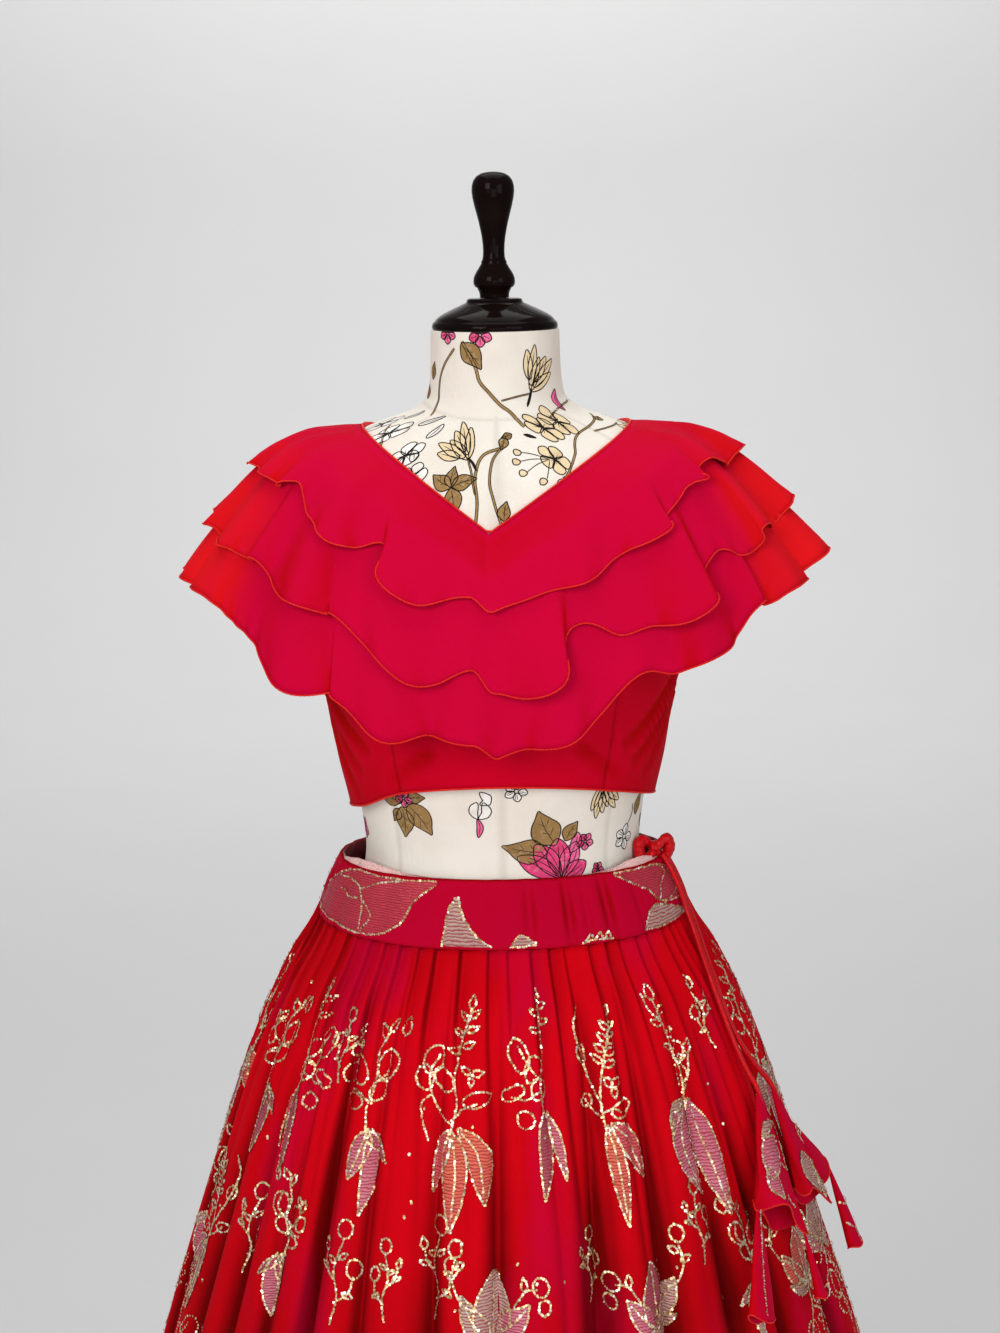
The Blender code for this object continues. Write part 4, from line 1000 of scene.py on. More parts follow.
# more rows at the neck's edge and at its seam
topAt, bottomAt = formRows[-1][0], formRows[0][0]
more = (topAt - np.array([0.5, 1.5]), np.arange(1404, 1428, 1.2))
heights = np.concatenate([np.linspace(topAt, bottomAt, cover["rows"]), *more])
heights = np.sort(heights)[::-1] * mm
heights, turns = np.broadcast_arrays(heights[:, None], azimuth[None, :])
grid = coverSurface(turns, heights)
tall, wide = grid.shape[:2]
faces = gridFaces(tall, wide, True)
faces.append(tuple(range(wide)))
faces.append(tuple(reversed(range((tall - 1) * wide, tall * wide))))
seams = {"seam": coverSeam(turns, heights) * 0.35}
piece = makePiece("form_cover", grid, faces, cotton, seams)
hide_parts("form_torso")

Turned = namedtuple("Turned", "radius height")
neckWood = {
    "neck_cap": {
        "sides": 96, "start": 1479.3,
        "rings": [
            (51.0, 0), (51.8, 0.6), (52.0, 2.0), (51.9, 3.6), (51.2, 5.2), (50.2, 6.4), (49.4, 6.9),
            (48.8, 7.9), (46.5, 10.2), (43.0, 12.4), (38.5, 14.7), (34.0, 16.8), (30.0, 18.6), (27.0, 20.0),
            (24.0, 21.2), (23.0, 22.3), (22.8, 23.6), (22.0, 24.5), (20.0, 25.0),
        ],
    },
    "neck_handle": {
        "sides": 72, "start": 1504.6,
        "rings": [
            (12.0, 0), (12.1, 2.6), (12.6, 4.8), (13.6, 6.8), (14.2, 8.0), (15.9, 9.0), (16.9, 10.8),
            (17.2, 13.0), (17.0, 15.6), (16.2, 18.2), (14.6, 21.2), (12.6, 24.2), (11.2, 26.6), (10.4, 27.8),
            (10.6, 29.0), (9.6, 30.6), (9.0, 33.5), (8.8, 38.0), (9.0, 43.0), (9.7, 49.0), (10.8, 55.0),
            (12.2, 61.5), (13.9, 68.0), (15.6, 74.5), (16.9, 80.5), (17.5, 85.5), (17.3, 90.0), (16.1, 94.2),
            (13.6, 97.6), (9.8, 99.9), (5.2, 101.0), (1.6, 101.3),
        ],
    },
}


def turnedPiece(name, facts):
    # a circle is lathed upwards ring by ring, then closed and rounded
    bpy.ops.object.select_all(action="DESELECT")
    rings = [Turned(*row) for row in facts["rings"]]
    bpy.ops.mesh.primitive_circle_add(
        vertices=facts["sides"], radius=rings[0].radius * mm, fill_type="NGON",
        location=(0, 0, (facts["start"] + rings[0].height) * mm))
    piece = bpy.context.object
    piece.name = piece.data.name = name + "_turned"
    bpy.ops.object.mode_set(mode="EDIT")
    bpy.ops.mesh.select_all(action="SELECT")
    for lower, upper in zip(rings, rings[1:]):
        rise = (upper.height - lower.height) * mm
        bpy.ops.mesh.extrude_region_move(TRANSFORM_OT_translate={"value": (0, 0, rise)})
        grow = upper.radius / lower.radius
        centre = (0, 0, (facts["start"] + upper.height) * mm)
        bpy.ops.transform.resize(value=(grow, grow, 1), center_override=centre)
    bpy.ops.mesh.select_all(action="SELECT")
    bpy.ops.mesh.normals_make_consistent(inside=False)
    bpy.ops.object.mode_set(mode="OBJECT")
    bpy.ops.object.transform_apply(location=True, rotation=True, scale=True)
    piece.data.shade_smooth()
    bpy.ops.object.shade_smooth_by_angle(angle=math.radians(50))
    piece.data.materials.append(lacquerBlack)
    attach(piece, "root")
    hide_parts(name)
    piece.select_set(False)


for name, facts in neckWood.items():
    turnedPiece(name, facts)
for name in ("stand_base", "stand_pole"):
    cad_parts[name].material_slots[0].material = standBlack
print("dress form made")

# The drawstring: a bow on the band's edge and two satin ends that hang side by side
CordPoint = namedtuple("CordPoint", "azimuth height lift")
tie = {
    "radius": 2.2 * mm, "step": 6 * mm, "knotAzimuth": 73, "bowFaces": 30, "halfWidth": 14 * mm,
    "halfHeight": 8 * mm, "halfDepth": 2.6 * mm, "bandWall": 1.6 * mm, "bowBack": -5 * mm,
    "bowSide": -3 * mm, "wrapDeep": 5.2 * mm, "wrapTall": 5.0 * mm, "wrapWide": 6 * mm, "wrapTurns": 2.6,
    "wrapRadius": 0.9, "sewnIn": 46 * mm,
    "tie_cord_front": [
        (71.4, 1036.8, 2.8), (71.4, 1033, 4), (71.4, 1024, 4.6), (71.4, 1008, 4.6), (71, 992, 4.6),
        (69, 976, 4.6), (66, 960, 4.6), (62.5, 940, 4.6), (61, 920, 4.6), (60.3, 892, 5), (60, 868, 8),
        (60, 850, 12),
    ],
    "tie_cord_back": [
        (74.8, 1039.2, 1.2), (74.8, 1034, 3.4), (74.8, 1024, 4.6), (74.6, 1008, 4.6), (74, 992, 4.6),
        (71.6, 976, 4.6), (68, 960, 4.6), (64.3, 940, 4.6), (62.75, 920, 4.6), (62.6, 892, 5),
        (64.4, 868, 8), (67, 846, 12),
    ],
}


def offGarment(azimuth, height, lift):
    surface = band if height > waist["bottom"] else skirt
    return surface.point(azimuth, height) + surface.outward(azimuth, height) * lift


def curveThrough(points, step, closed=False):
    # even steps along a smooth curve through a few points
    points = np.asarray(points, float)
    if closed:
        padded = np.concatenate([points[-1:], points, points[:2]])
    else:
        padded = np.concatenate([2 * points[:1] - points[1:2], points, 2 * points[-1:] - points[-2:-1]])
    a, b, c, d = padded[:-3], padded[1:-2], padded[2:-1], padded[3:]
    pieces = 16
    t = (np.arange(pieces) / pieces)[None, :, None]
    a, b, c, d = a[:, None], b[:, None], c[:, None], d[:, None]
    fine = 0.5 * (2 * b + (c - a) * t + (2 * a - 5 * b + 4 * c - d) * t**2 + (3 * b - a - 3 * c + d) * t**3)
    fine = fine.reshape(-1, points.shape[1])
    fine = np.concatenate([fine, points[:1] if closed else points[-1:]])
    gone = lengthsAlong(fine)
    wanted = np.linspace(0, gone[-1], max(2, int(round(gone[-1] / step)) + 1))
    return readAlong(wanted[:-1] if closed else wanted, gone, fine)


def cordCurve(name, route, radius):
    curve = bpy.data.curves.new(name, "CURVE")
    curve.dimensions = "3D"
    curve.bevel_depth, curve.bevel_resolution, curve.use_fill_caps = radius, 4, True
    spline = curve.splines.new("POLY")
    spline.points.add(len(route) - 1)
    for knot, place in zip(spline.points, route):
        knot.co = (*place, 1.0)
    curve.materials.append(satinRed)
    piece = bpy.data.objects.new(name, curve)
    bpy.context.scene.collection.objects.link(piece)
    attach(piece, "root")
    return piece


cordPoints, cordPlaces = {}, {}
for name in ("tie_cord_front", "tie_cord_back"):
    cordPoints[name] = [CordPoint(*row) for row in tie[name]]
    cordPlaces[name] = [offGarment(row.azimuth, row.height * mm, row.lift * mm) for row in cordPoints[name]]

# The bow: two soft lobes and a wrapped middle
rise = tie["halfHeight"] + tie["radius"] - 2.7 * mm
knotAt = (tie["knotAzimuth"], waist["top"])
edge = band.point(*knotAt) - band.level(*knotAt) * tie["bandWall"] / 2
centre = edge + np.array([tie["bowBack"], tie["bowSide"], rise])
bowOut = band.level(tie["bowFaces"], waist["top"])
bowUp = np.array([0.0, 0.0, 1.0])
bowAcross = unit(np.cross(bowUp, bowOut))
t = circle(96)
loop = centre + bowAcross * (tie["halfWidth"] * np.sin(t))[:, None]
loop = loop + bowUp * (tie["halfHeight"] * np.sin(2 * t))[:, None]
loop = loop + bowOut * (tie["halfDepth"] * np.cos(t))[:, None]
swell = tie["radius"] * (1.35 + 1.0 * np.abs(np.sin(t)) + 0.14 * np.sin(9 * t) + 0.08 * np.sin(23 * t))
points, faces = tubeAlong(loop, swell, 12, True)
piece = makePiece("tie_knot_satin", points, faces, satinRed)
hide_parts("tie_knot")
wrap = np.linspace(0, 2 * np.pi * tie["wrapTurns"], 60)
coil = centre + bowOut * (tie["wrapDeep"] * np.cos(wrap))[:, None]
coil = coil + bowUp * (tie["wrapTall"] * np.sin(wrap))[:, None]
coil = coil + bowAcross * ((wrap / wrap[-1] - 0.5) * tie["wrapWide"])[:, None]
points, faces = tubeAlong(coil, tie["radius"] * tie["wrapRadius"], 10)
makePiece("tie_knot_wrap", points, faces, satinRed)

# Cloth tassels: two embroidered bells on the cords and plain cones that hang from them
Bell = namedtuple("Bell", "name cord turn length wide deep lobes")
Cone = namedtuple("Cone", "name host share side turn length wide deep")
tasselCloth = {
    "wall": 1.2 * mm, "gap": 0.4 * mm, "tilt": 0.27, "sheet": 0.8 * mm, "hemRadius": 0.7 * mm,
    "fillLift": 0.5 * mm, "aimBelow": 40 * mm,
    # a cone's flat cut is as wide as its hem, which is so many times its mean ring
    "wider": 1.9, "areaShare": 0.98,
}
bells = [
    ("tassel_bell_front", "tie_cord_front", 15, 118, 68, 24, 4),
    ("tassel_bell_back", "tie_cord_back", -4, 118, 46, 20, 3),
]
cones = [
    ("tassel_cone_front_low", "tassel_bell_front", 1.0, 172, 28, 90, 36, 13),
    ("tassel_cone_front_slim", "tassel_bell_front", 1.0, 10, 2, 56, 14, 9),
    ("tassel_cone_back_high", "tassel_bell_back", 0.34, 0, -30, 68, 32, 13),
    ("tassel_cone_back_low", "tassel_cone_back_high", 1.0, 60, -8, 76, 22, 12),
]


def flare(share):
    return 0.1 + 0.9 * share**0.85


def slant(turn):
    # how much shorter a bell is on its far side
    return tasselCloth["tilt"] * (0.5 - 0.5 * np.cos(turn))


class Tassel:
    # a flattened hollow cone of cloth, soft-folded, closed above and open below
    def __init__(self, row, top, down, out, lobes=0):
        across = unit(np.cross(out, down))
        c, s = heading(row.turn)
        self.row, self.top, self.lobes = row, top, lobes
        self.down, self.across = unit(down * c - across * s), unit(across * c + down * s)
        self.out = np.cross(self.down, self.across)

    def point(self, share, side):
        turn = np.radians(side)
        if self.lobes:
            fold = 1 + 0.10 * np.cos(self.lobes * turn + 0.8) * share
            dent = 1 + 0.35 * np.sin(self.lobes * turn) * share
            pinch = 0.05 * np.sin(5 * turn + 12 * share) * share
            short = 0.045 * np.cos(3 * turn + 0.9) + slant(turn)
        else:
            fold, dent = 1.0, 1.0
            pinch, short = 0.03 * np.sin(3 * turn + 9 * share), 0.03 * np.cos(2 * turn)
        spread = flare(share) * (1 + pinch) * mm / 2
        wide, deep = self.row.wide * spread * fold, self.row.deep * spread * dent
        along = self.row.length * mm * share * (1 - short * share**3)
        flat = self.top + self.down * np.asarray(along)[..., None]
        flat = flat + self.across * np.asarray(wide * np.cos(turn))[..., None]
        return flat + self.out * np.asarray(deep * np.sin(turn))[..., None]

    def build(self, columns, rows):
        sides, shares = np.meshgrid(evenTurns(columns, 0), np.linspace(0.0, 1.0, rows))
        grid = self.point(shares, sides)
        faces = [tuple(reversed(face)) for face in gridFaces(rows, columns, True)]
        faces.append(tuple(range(columns)))
        # painted shade towards the cone's narrow edges, less on its broad faces
        turned = 1 - np.abs(sine(sides)) * 0.8
        piece = clothPiece(self.row.name, grid, faces, ruffleCloth, turned, tasselCloth["sheet"])
        rim = threadTube(self.row.name + "_hem", grid[-1], tasselCloth["hemRadius"], 6)
        wide, long = measured(grid)
        return piece, rim


def clearOf(oneWay, otherWay):
    return tasselCloth["gap"] + tie["radius"] * np.linalg.norm(np.cross(oneWay, otherWay))


tassels = {}
for row in (Bell(*facts) for facts in bells):
    end = cordPoints[row.cord][-1]
    before, last = cordPlaces[row.cord][-2:]
    below = offGarment(end.azimuth, end.height * mm - tasselCloth["aimBelow"], end.lift * mm)
    down = unit(below - last)
    tassel = Tassel(row, last, down, skirt.outward(end.azimuth, end.height * mm), row.lobes)
    tassel.top = last + tassel.down * clearOf(unit(last - before), tassel.down)
    tassels[row.name] = tassel
    ends = tassel.build(96, 34)
    # the cord runs on into its bell, where it is sewn in
    inside = [tassel.top + tassel.down * tie["sewnIn"] * share for share in (0.5, 1.0)]
    route = curveThrough(cordPlaces[row.cord] + inside, tie["step"])
    cord = cordCurve(row.cord + "_satin", route, tie["radius"])
    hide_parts(row.cord)
    long = float(np.linalg.norm(np.diff(route, axis=0), axis=1).sum())
# the cones hang along the skirt beside them
slope = unit(skirt.point(60, 700 * mm) - skirt.point(60, 760 * mm))
for row in (Cone(*facts) for facts in cones):
    host, turn = tassels[row.host], math.radians(row.side)
    raised = slant(turn) if host.lobes else 0.0
    half, wall = flare(row.share) / 2 * mm, tasselCloth["wall"]
    wide, deep = host.row.wide * half - wall / 2, host.row.deep * half - wall / 2
    place = host.top + host.down * host.row.length * mm * row.share * (1 - raised)
    place = place + host.across * wide * math.cos(turn) + host.out * deep * math.sin(turn)
    tassel = Tassel(row, place, slope, unit(np.cross(slope, host.across)))
    if row.share == 1.0:
        tassel.top = place + tassel.down * clearOf(host.down, tassel.down)
    else:
        tassel.top = place + host.across * (tasselCloth["gap"] + wall / 2 + row.wide * 0.05 * mm)
    tassels[row.name] = tassel
    tassel.build(40, 22)
print("drawstring and tassels made")

# Embroidery and print: motifs drawn in millimetres and laid on a surface
Stitched = namedtuple("Stitched", "stems loops buds petals")
gold = {
    "sequin": 1.06 * mm, "pitch": 2.05, "lowerPitch": 3.2, "bandPitch": 1.85 * mm, "lift": 1.1 * mm,
    "tilt": 0.3, "sides": 6, "scatter": 0.7 * mm, "fillLift": 0.55 * mm, "veinFrom": 16,
    "tones": ((0.80, 0.60, 0.32), (0.95, 0.88, 0.72), (0.50, 0.30, 0.14)),
}
threadTones = {
    "coral": ((0.72, 0.155, 0.085), (0.60, 0.10, 0.085)), "rose": ((0.50, 0.12, 0.19), (0.60, 0.21, 0.27)),
    "silver": ((0.42, 0.27, 0.24), (0.50, 0.36, 0.31)), "plum": ((0.30, 0.05, 0.09), (0.38, 0.10, 0.13)),
    "blush": ((0.62, 0.10, 0.12), (0.56, 0.07, 0.09)),
    "cherry": ((0.46, 0.030, 0.062), (0.54, 0.055, 0.090)),
}


def layOn(surface, normal, azimuth, height, scale=1.0, mirror=1, turn=0.0, tall=1.0):
    # returns a function from motif millimetres to places and normals on the cloth
    reach, formTop = 130 * mm, 1478.8 * mm
    levels = np.linspace(height - reach, min(height + reach, formTop), 131)
    profile = surface(np.full(levels.shape, float(azimuth)), levels)
    gone = lengthsAlong(profile)
    middle = np.interp(height, levels, gone)

    def lay(points, lift):
        points = np.asarray(points, float)
        x, y = points[..., 0] * mirror, points[..., 1]
        c, s = heading(turn)
        across, up = (x * c - y * s) * scale * mm, (x * s + y * c) * scale * tall * mm
        heights = np.interp(middle + up, gone, levels)
        beside = surface(azimuth + 2.0, heights) - surface(azimuth - 2.0, heights)
        perDegree = np.linalg.norm(beside, axis=-1) / 4
        azimuths = azimuth + across / perDegree
        normals = normal(azimuths, heights)
        return surface(azimuths, heights) + normals * lift, normals
    return lay


def ring(x, y, wide, tall, turn=0.0, count=8):
    t = circle(count)
    c, s = heading(turn)
    a, b = wide * np.cos(t), tall * np.sin(t)
    return np.stack([x + a * c - b * s, y + a * s + b * c], axis=-1)


def leafEdge(x, y, turn, long, wide):
    # a pointed leaf's outline, from its stalk out and back
    t = np.linspace(0, 1, 5)[1:-1]
    bulge = wide / 2 * np.sin(np.pi * t**0.8)
    local = [(0, 0)] + [(long * a, b) for a, b in zip(t, bulge)] + [(long, 0)]
    local += [(long * a, -b) for a, b in zip(t[::-1], bulge[::-1])]
    c, s = heading(turn)
    return np.array([(x + a * c - b * s, y + a * s + b * c) for a, b in local])


def respaced(line, count):
    # the same line with this many points
    return readAlong(np.linspace(0, len(line) - 1, count), np.arange(len(line)), line)


def petalGrid(spine, wide, rows=16, across=7, blunt=0.75, least=0.06, point=0.85):
    line = respaced(curveThrough(spine, 1.0), rows)
    along = unit(np.gradient(line, axis=0))
    aside = np.stack([-along[:, 1], along[:, 0]], axis=-1)
    share = np.linspace(0, 1, rows)
    half = wide / 2 * (least + (1 - least) * np.sin(np.pi * share**blunt) ** point)
    side = np.linspace(-1, 1, across)
    return line[:, None] + aside[:, None] * (half[:, None] * side[None, :])[..., None]


class Patches:
    # many small cloth patches gathered into one mesh
    def __init__(self):
        self.points, self.faces, self.tints, self.uvs, self.count = [], [], [], [], 0

    def add(self, local, placed, tint, tintEnd=None):
        rows, across = local.shape[:2]
        self.points.append(placed.reshape(-1, 3))
        self.uvs.append(local.reshape(-1, 2) * mm)
        share = np.linspace(0, 1, rows)[:, None, None] ** 1.2
        ends = np.array(tint) * (1 - share) + np.array(tintEnd or tint) * share
        self.tints.append(np.broadcast_to(ends, (rows, across, 3)).reshape(-1, 3))
        self.faces += [tuple(self.count + k for k in face) for face in gridFaces(rows, across)]
        self.count += rows * across

    def make(self, name, finish, slot):
        points, tints, uv = (np.concatenate(rows) for rows in (self.points, self.tints, self.uvs))
        makePiece(name, points, self.faces, finish, tints=tints, uv=uv)


class Sequins:
    # small metal discs set along lines, a little tilted and scattered
    def __init__(self):
        self.places, self.normals = [], []

    def along(self, lay, strokes, closed=(), pitch=gold["pitch"]):
        # strokes and closed lines of one motif, laid together
        lines = [curveThrough(line, pitch) for line in strokes]
        lines += [curveThrough(line, pitch, True) for line in closed]
        places, normals = lay(np.concatenate(lines), gold["lift"])
        self.places.append(places)
        self.normals.append(normals)

    def make(self, name, slot):
        places, normals = np.concatenate(self.places), np.concatenate(self.normals)
        count, sides = len(places), gold["sides"]
        normals = unit(normals + (luck.random((count, 3)) - 0.5) * 2 * gold["tilt"])
        places = places + (luck.random((count, 3)) - 0.5) * gold["scatter"]
        aside = unit(np.cross(normals, np.array([0.1, 0.2, 1.0])))
        up = np.cross(normals, aside)
        t = circle(sides)
        disc = aside[:, None] * np.cos(t)[None, :, None] + up[:, None] * np.sin(t)[None, :, None]
        size = gold["sequin"] * (0.75 + 0.45 * luck.random(count))
        points = places[:, None] + disc * size[:, None, None]
        shares = luck.random(count)[:, None]
        bright, pale, brown = gold["tones"]
        tints = np.where(shares < 0.5, bright, np.where(shares < 0.78, pale, brown))
        faces = np.arange(count * sides).reshape(count, sides).tolist()
        tints = np.repeat(tints, sides, axis=0)
        makePiece(name, points, faces, sequinGold, tints=tints, shade=False)
        print(name, count, "sequins")


def stitchMotif(lay, motif, sequins, patches, tones, pitch):
    # thread fills for the petals, and sequins along every stem, loop, bud and petal edge
    lines = list(motif.stems)
    closed = [ring(*loop) for loop in motif.loops] + [leafEdge(*bud) for bud in motif.buds]
    for number, (spine, wide) in enumerate(motif.petals):
        local = petalGrid(spine, wide)
        placed, _ = lay(local, gold["fillLift"])
        tone = threadTones[tones[number % len(tones)]]
        patches.add(local[:, ::-1], placed[:, ::-1], *tone)
        lines += [local[::3, 0], local[::3, -1]]
        if wide > gold["veinFrom"]:
            lines.append(local[1:-2:3, 3])
    sequins.along(lay, lines, closed, pitch)


stitchedMotifs = {
    # a tall spray over three hanging petals
    "spray": Stitched(
        [
            [(0, 0), (3, 22), (0, 46), (6, 78), (13, 112)],
            [(0, 4), (-12, 14), (-20, 30), (-22, 50), (-14, 66)], [(0, 8), (10, 18), (22, 24)],
            [(-20, 30), (-30, 20), (-27, 4), (-22, -12)],
        ],
        [(-19, 62, 9, 14, -22), (-9, 44, 8, 12, 30), (-27, 45, 8, 12, 8), (21, 27, 12, 7, 22)],
        [
            (5, 68, 150, 12, 6), (8, 74, 35, 12, 6), (7, 84, 140, 12, 6), (10, 90, 30, 12, 6),
            (11, 100, 130, 11, 5), (13, 104, 48, 11, 5), (13, 112, 86, 13, 6), (17, 50, 20, 10, 6),
            (15, 50, 140, 10, 6), (16, 48, 270, 9, 5),
        ],
        [
            ([(-3, -1), (-9, -26), (-17, -58)], 13), ([(0, -2), (5, -40), (2, -90)], 22),
            ([(5, 0), (24, -20), (33, -66)], 20),
        ],
    ),
    # open loops over a short pair of petals
    "loops": Stitched(
        [
            [(0, 0), (-2, 20), (3, 42), (1, 66), (7, 84)], [(1, 22), (-12, 32), (-22, 30)],
            [(2, 40), (14, 54), (12, 72)],
        ],
        [
            (-16, 22, 10, 7, 12), (-14, 50, 8, 13, 20), (12, 58, 9, 14, -12), (6, 34, 7, 10, -30),
            (-26, 44, 6, 9, 0),
        ],
        [
            (5, 80, 110, 14, 6), (8, 86, 62, 15, 6), (-24, 58, 100, 14, 6), (-22, 64, 60, 12, 5),
            (22, 84, 80, 18, 9),
        ],
        [
            ([(2, 0), (-3, -22), (-10, -44)], 17), ([(6, 0), (9, -34), (4, -74)], 15),
            ([(0, -2), (14, -14), (24, -26)], 10),
        ],
    ),
    # a narrow sprig with rings, over two thin dark petals
    "narrow": Stitched(
        [
            [(6, 0), (4, 30), (8, 62), (6, 98)], [(4, 20), (-10, 12), (-22, 14)],
            [(5, 30), (-6, 44), (-14, 60)],
        ],
        [
            (-14, 52, 9, 16, 14), (-2, 40, 7, 13, -12), (-20, 18, 11, 6, 30), (-10, -6, 8, 8, 0),
            (2, 22, 6, 10, 0),
        ],
        [
            (6, 74, 150, 10, 5), (7, 80, 30, 10, 5), (6, 90, 140, 10, 5), (7, 94, 45, 10, 5),
            (6, 100, 90, 13, 5),
        ],
        [([(6, 0), (8, -34), (5, -78)], 13), ([(9, 0), (18, -24), (26, -62)], 9)],
    ),
    # a leafy sprig and a curl, over two petals
    "leafy": Stitched(
        [
            [(0, 0), (-1, 26), (4, 52), (13, 78), (18, 96)],
            [(-1, 20), (-9, 40), (-16, 62), (-20, 92), (-13, 112)], [(0, 6), (-10, 14), (-16, 22)],
            [(0, 12), (10, 16), (18, 12)],
        ],
        [(-16, 22, 7, 6, 0), (20, 14, 12, 7, 18), (-16, 66, 5, 9, 10)],
        [
            (6, 56, 10, 13, 7), (5, 58, 140, 12, 6), (9, 66, 20, 13, 7), (9, 68, 140, 12, 6),
            (13, 76, 25, 13, 7), (13, 78, 140, 12, 6), (16, 86, 30, 12, 6), (16, 88, 130, 12, 6),
            (18, 96, 70, 14, 6), (12, 36, 40, 11, 8), (12, 36, 130, 11, 8), (13, 35, 280, 10, 7),
        ],
        [([(2, 0), (8, -34), (12, -92)], 17), ([(6, 2), (22, -14), (38, -52)], 20)],
    ),
    # a tall stem over three broad petals
    "tall": Stitched(
        [
            [(2, 0), (3, 30), (-2, 60), (-6, 92)], [(2, 8), (10, 22), (14, 40)],
            [(-4, 74), (-12, 84), (-14, 98)],
        ],
        [(4, 24, 6, 10, 0), (6, 44, 5, 9, -14)],
        [
            (-6, 92, 95, 15, 8), (-5, 80, 30, 11, 6), (-4, 70, 150, 11, 6), (-2, 58, 35, 11, 6),
            (0, 48, 150, 10, 5), (2, 36, 20, 10, 6), (13, 42, 70, 12, 6),
        ],
        [
            ([(-2, 2), (-12, -16), (-14, -44), (-2, -82)], 22), ([(4, 2), (10, -34), (22, -104)], 21),
            ([(-4, 4), (-16, -6), (-24, -22)], 12),
        ],
    ),
    # a bud on a long curl, with a few open leaves
    "curl": Stitched(
        [
            [(0, 0), (4, 26), (-2, 50), (4, 78)], [(2, 20), (14, 30), (16, 44)],
            [(0, 40), (-10, 50), (-13, 64)],
        ],
        [(4, 88, 7, 9, 0), (16, 52, 6, 9, 10)],
        [
            (-13, 64, 100, 12, 6), (-8, 50, 160, 10, 5), (9, 30, 330, 10, 5), (2, 60, 40, 10, 5),
            (-1, 56, 150, 10, 5),
        ],
        [],
    ),
    # a broad open flower
    "bloom": Stitched(
        [
            [(-20, -6), (-34, 4), (-40, 22), (-36, 40)], [(0, -34), (-4, -60), (-16, -84)],
            [(24, -4), (34, 10), (46, 12)], [(-4, -60), (12, -70), (22, -86)],
        ],
        [(-36, 48, 7, 8, 0), (50, 14, 8, 9, 30), (54, -4, 6, 7, 0)],
        [
            (-38, 22, 150, 11, 6), (-36, 30, 30, 11, 6), (-16, -84, 250, 16, 8), (22, -86, 300, 16, 8),
            (34, 10, 100, 12, 6),
        ],
        [
            ([(-2, -34), (-18, -18), (-30, 6)], 22), ([(4, -34), (22, -20), (38, -2)], 24),
            ([(0, -38), (1, -8), (2, 26)], 38), ([(2, -36), (-16, -36), (-30, -28)], 14),
            ([(2, -36), (18, -42), (32, -38)], 14),
        ],
    ),
}
Placed = namedtuple("Placed", "motif azimuth height scale mirror tones")
frontSprays = [
    ("loops", -62, 862, 0.80, 1, ("plum",)), ("narrow", -48, 868, 0.86, -1, ("plum", "blush")),
    ("loops", -29, 854, 0.92, 1, ("rose", "rose", "plum")), ("curl", -38, 884, 0.62, -1, ()),
    ("spray", -10.5, 860, 0.88, 1, ("blush", "coral", "coral")),
    ("narrow", 5.5, 872, 0.86, 1, ("plum", "rose")), ("leafy", 19.5, 858, 0.86, 1, ("coral", "blush")),
    ("tall", 40, 862, 0.92, 1, ("rose", "rose", "silver")), ("curl", 55, 892, 0.66, -1, ()),
]
mixes = (
    ("silver", "rose"), ("coral", "blush"), ("rose", "plum"), ("coral", "rose", "silver"),
    ("silver", "blush"),
)
upperKinds = ("spray", "leafy", "tall", "loops", "narrow")
for number, azimuth in enumerate(np.arange(74, 290, 15.6)):
    height, mirror = 858 + 7 * (number % 3), 1 - 2 * (number % 2)
    frontSprays.append((upperKinds[number % 5], azimuth, height, 0.88, mirror, mixes[number % 5]))
secondRow = [
    ("leafy", -70, 716, 0.72, -1, ("silver", "rose")), ("curl", -56, 712, 0.8, 1, ()),
    ("loops", -45, 742, 0.7, -1, ("plum", "rose")), ("curl", -31, 706, 0.86, 1, ()),
    ("curl", -21, 716, 0.66, -1, ()), ("curl", -12.5, 718, 0.84, 1, ()),
    ("bloom", -3, 734, 0.86, 1, ("silver", "rose", "silver")), ("curl", 14, 726, 0.6, 1, ()),
    ("bloom", 25.5, 730, 0.86, -1, ("silver", "rose", "plum")), ("curl", 36, 742, 0.7, 1, ()),
    ("loops", 47, 716, 0.7, -1, ("rose", "silver")), ("bloom", 62, 714, 0.8, 1, ("coral", "silver")),
]
cycle = ("bloom", "curl", "spray", "curl", "leafy", "loops", "bloom", "narrow", "tall", "curl")
for number, azimuth in enumerate(np.arange(76, 282, 13.6)):
    kind, height, mirror = cycle[number % len(cycle)], 722 + 12 * (number % 3), 1 - 2 * (number % 2)
    secondRow.append((kind, azimuth, height, 0.78, mirror, mixes[number % 5]))
lowRows = []
for row, (height, count, start) in enumerate(((590, 24, 3), (440, 25, 9), (290, 26, 4), (140, 26, 10))):
    for number, azimuth in enumerate(evenTurns(count, start)):
        kind, mirror = cycle[(number * 3 + row) % len(cycle)], 1 - 2 * (number % 2)
        stagger = 14 * ((number * 7) % 3 - 1)
        lowRows.append((kind, azimuth, height + stagger, 0.95, mirror, mixes[(number + row) % 5]))
for label, group in (("upper", frontSprays), ("middle", secondRow), ("lower", lowRows)):
    sequins, patches = Sequins(), Patches()
    pitch = gold["lowerPitch"] if label == "lower" else gold["pitch"]
    for item in (Placed(*row) for row in group):
        lay = layOn(skirtSurface, skirtNormal, item.azimuth, item.height * mm, item.scale, item.mirror)
        stitchMotif(lay, stitchedMotifs[item.motif], sequins, patches, item.tones, pitch)
    if label == "upper":
        # loose sequins between the sprays
        for _ in range(90):
            azimuth, height = luck.uniform(-180, 180), luck.uniform(650, 950) * mm
            lay = layOn(skirtSurface, skirtNormal, azimuth, height)
            sequins.along(lay, [[(0, 0), (0, 1)]])
    sequins.make("skirt_sequins_" + label, "red_georgette")
    patches.make("skirt_thread_fill_" + label, threadFill, "red_georgette")


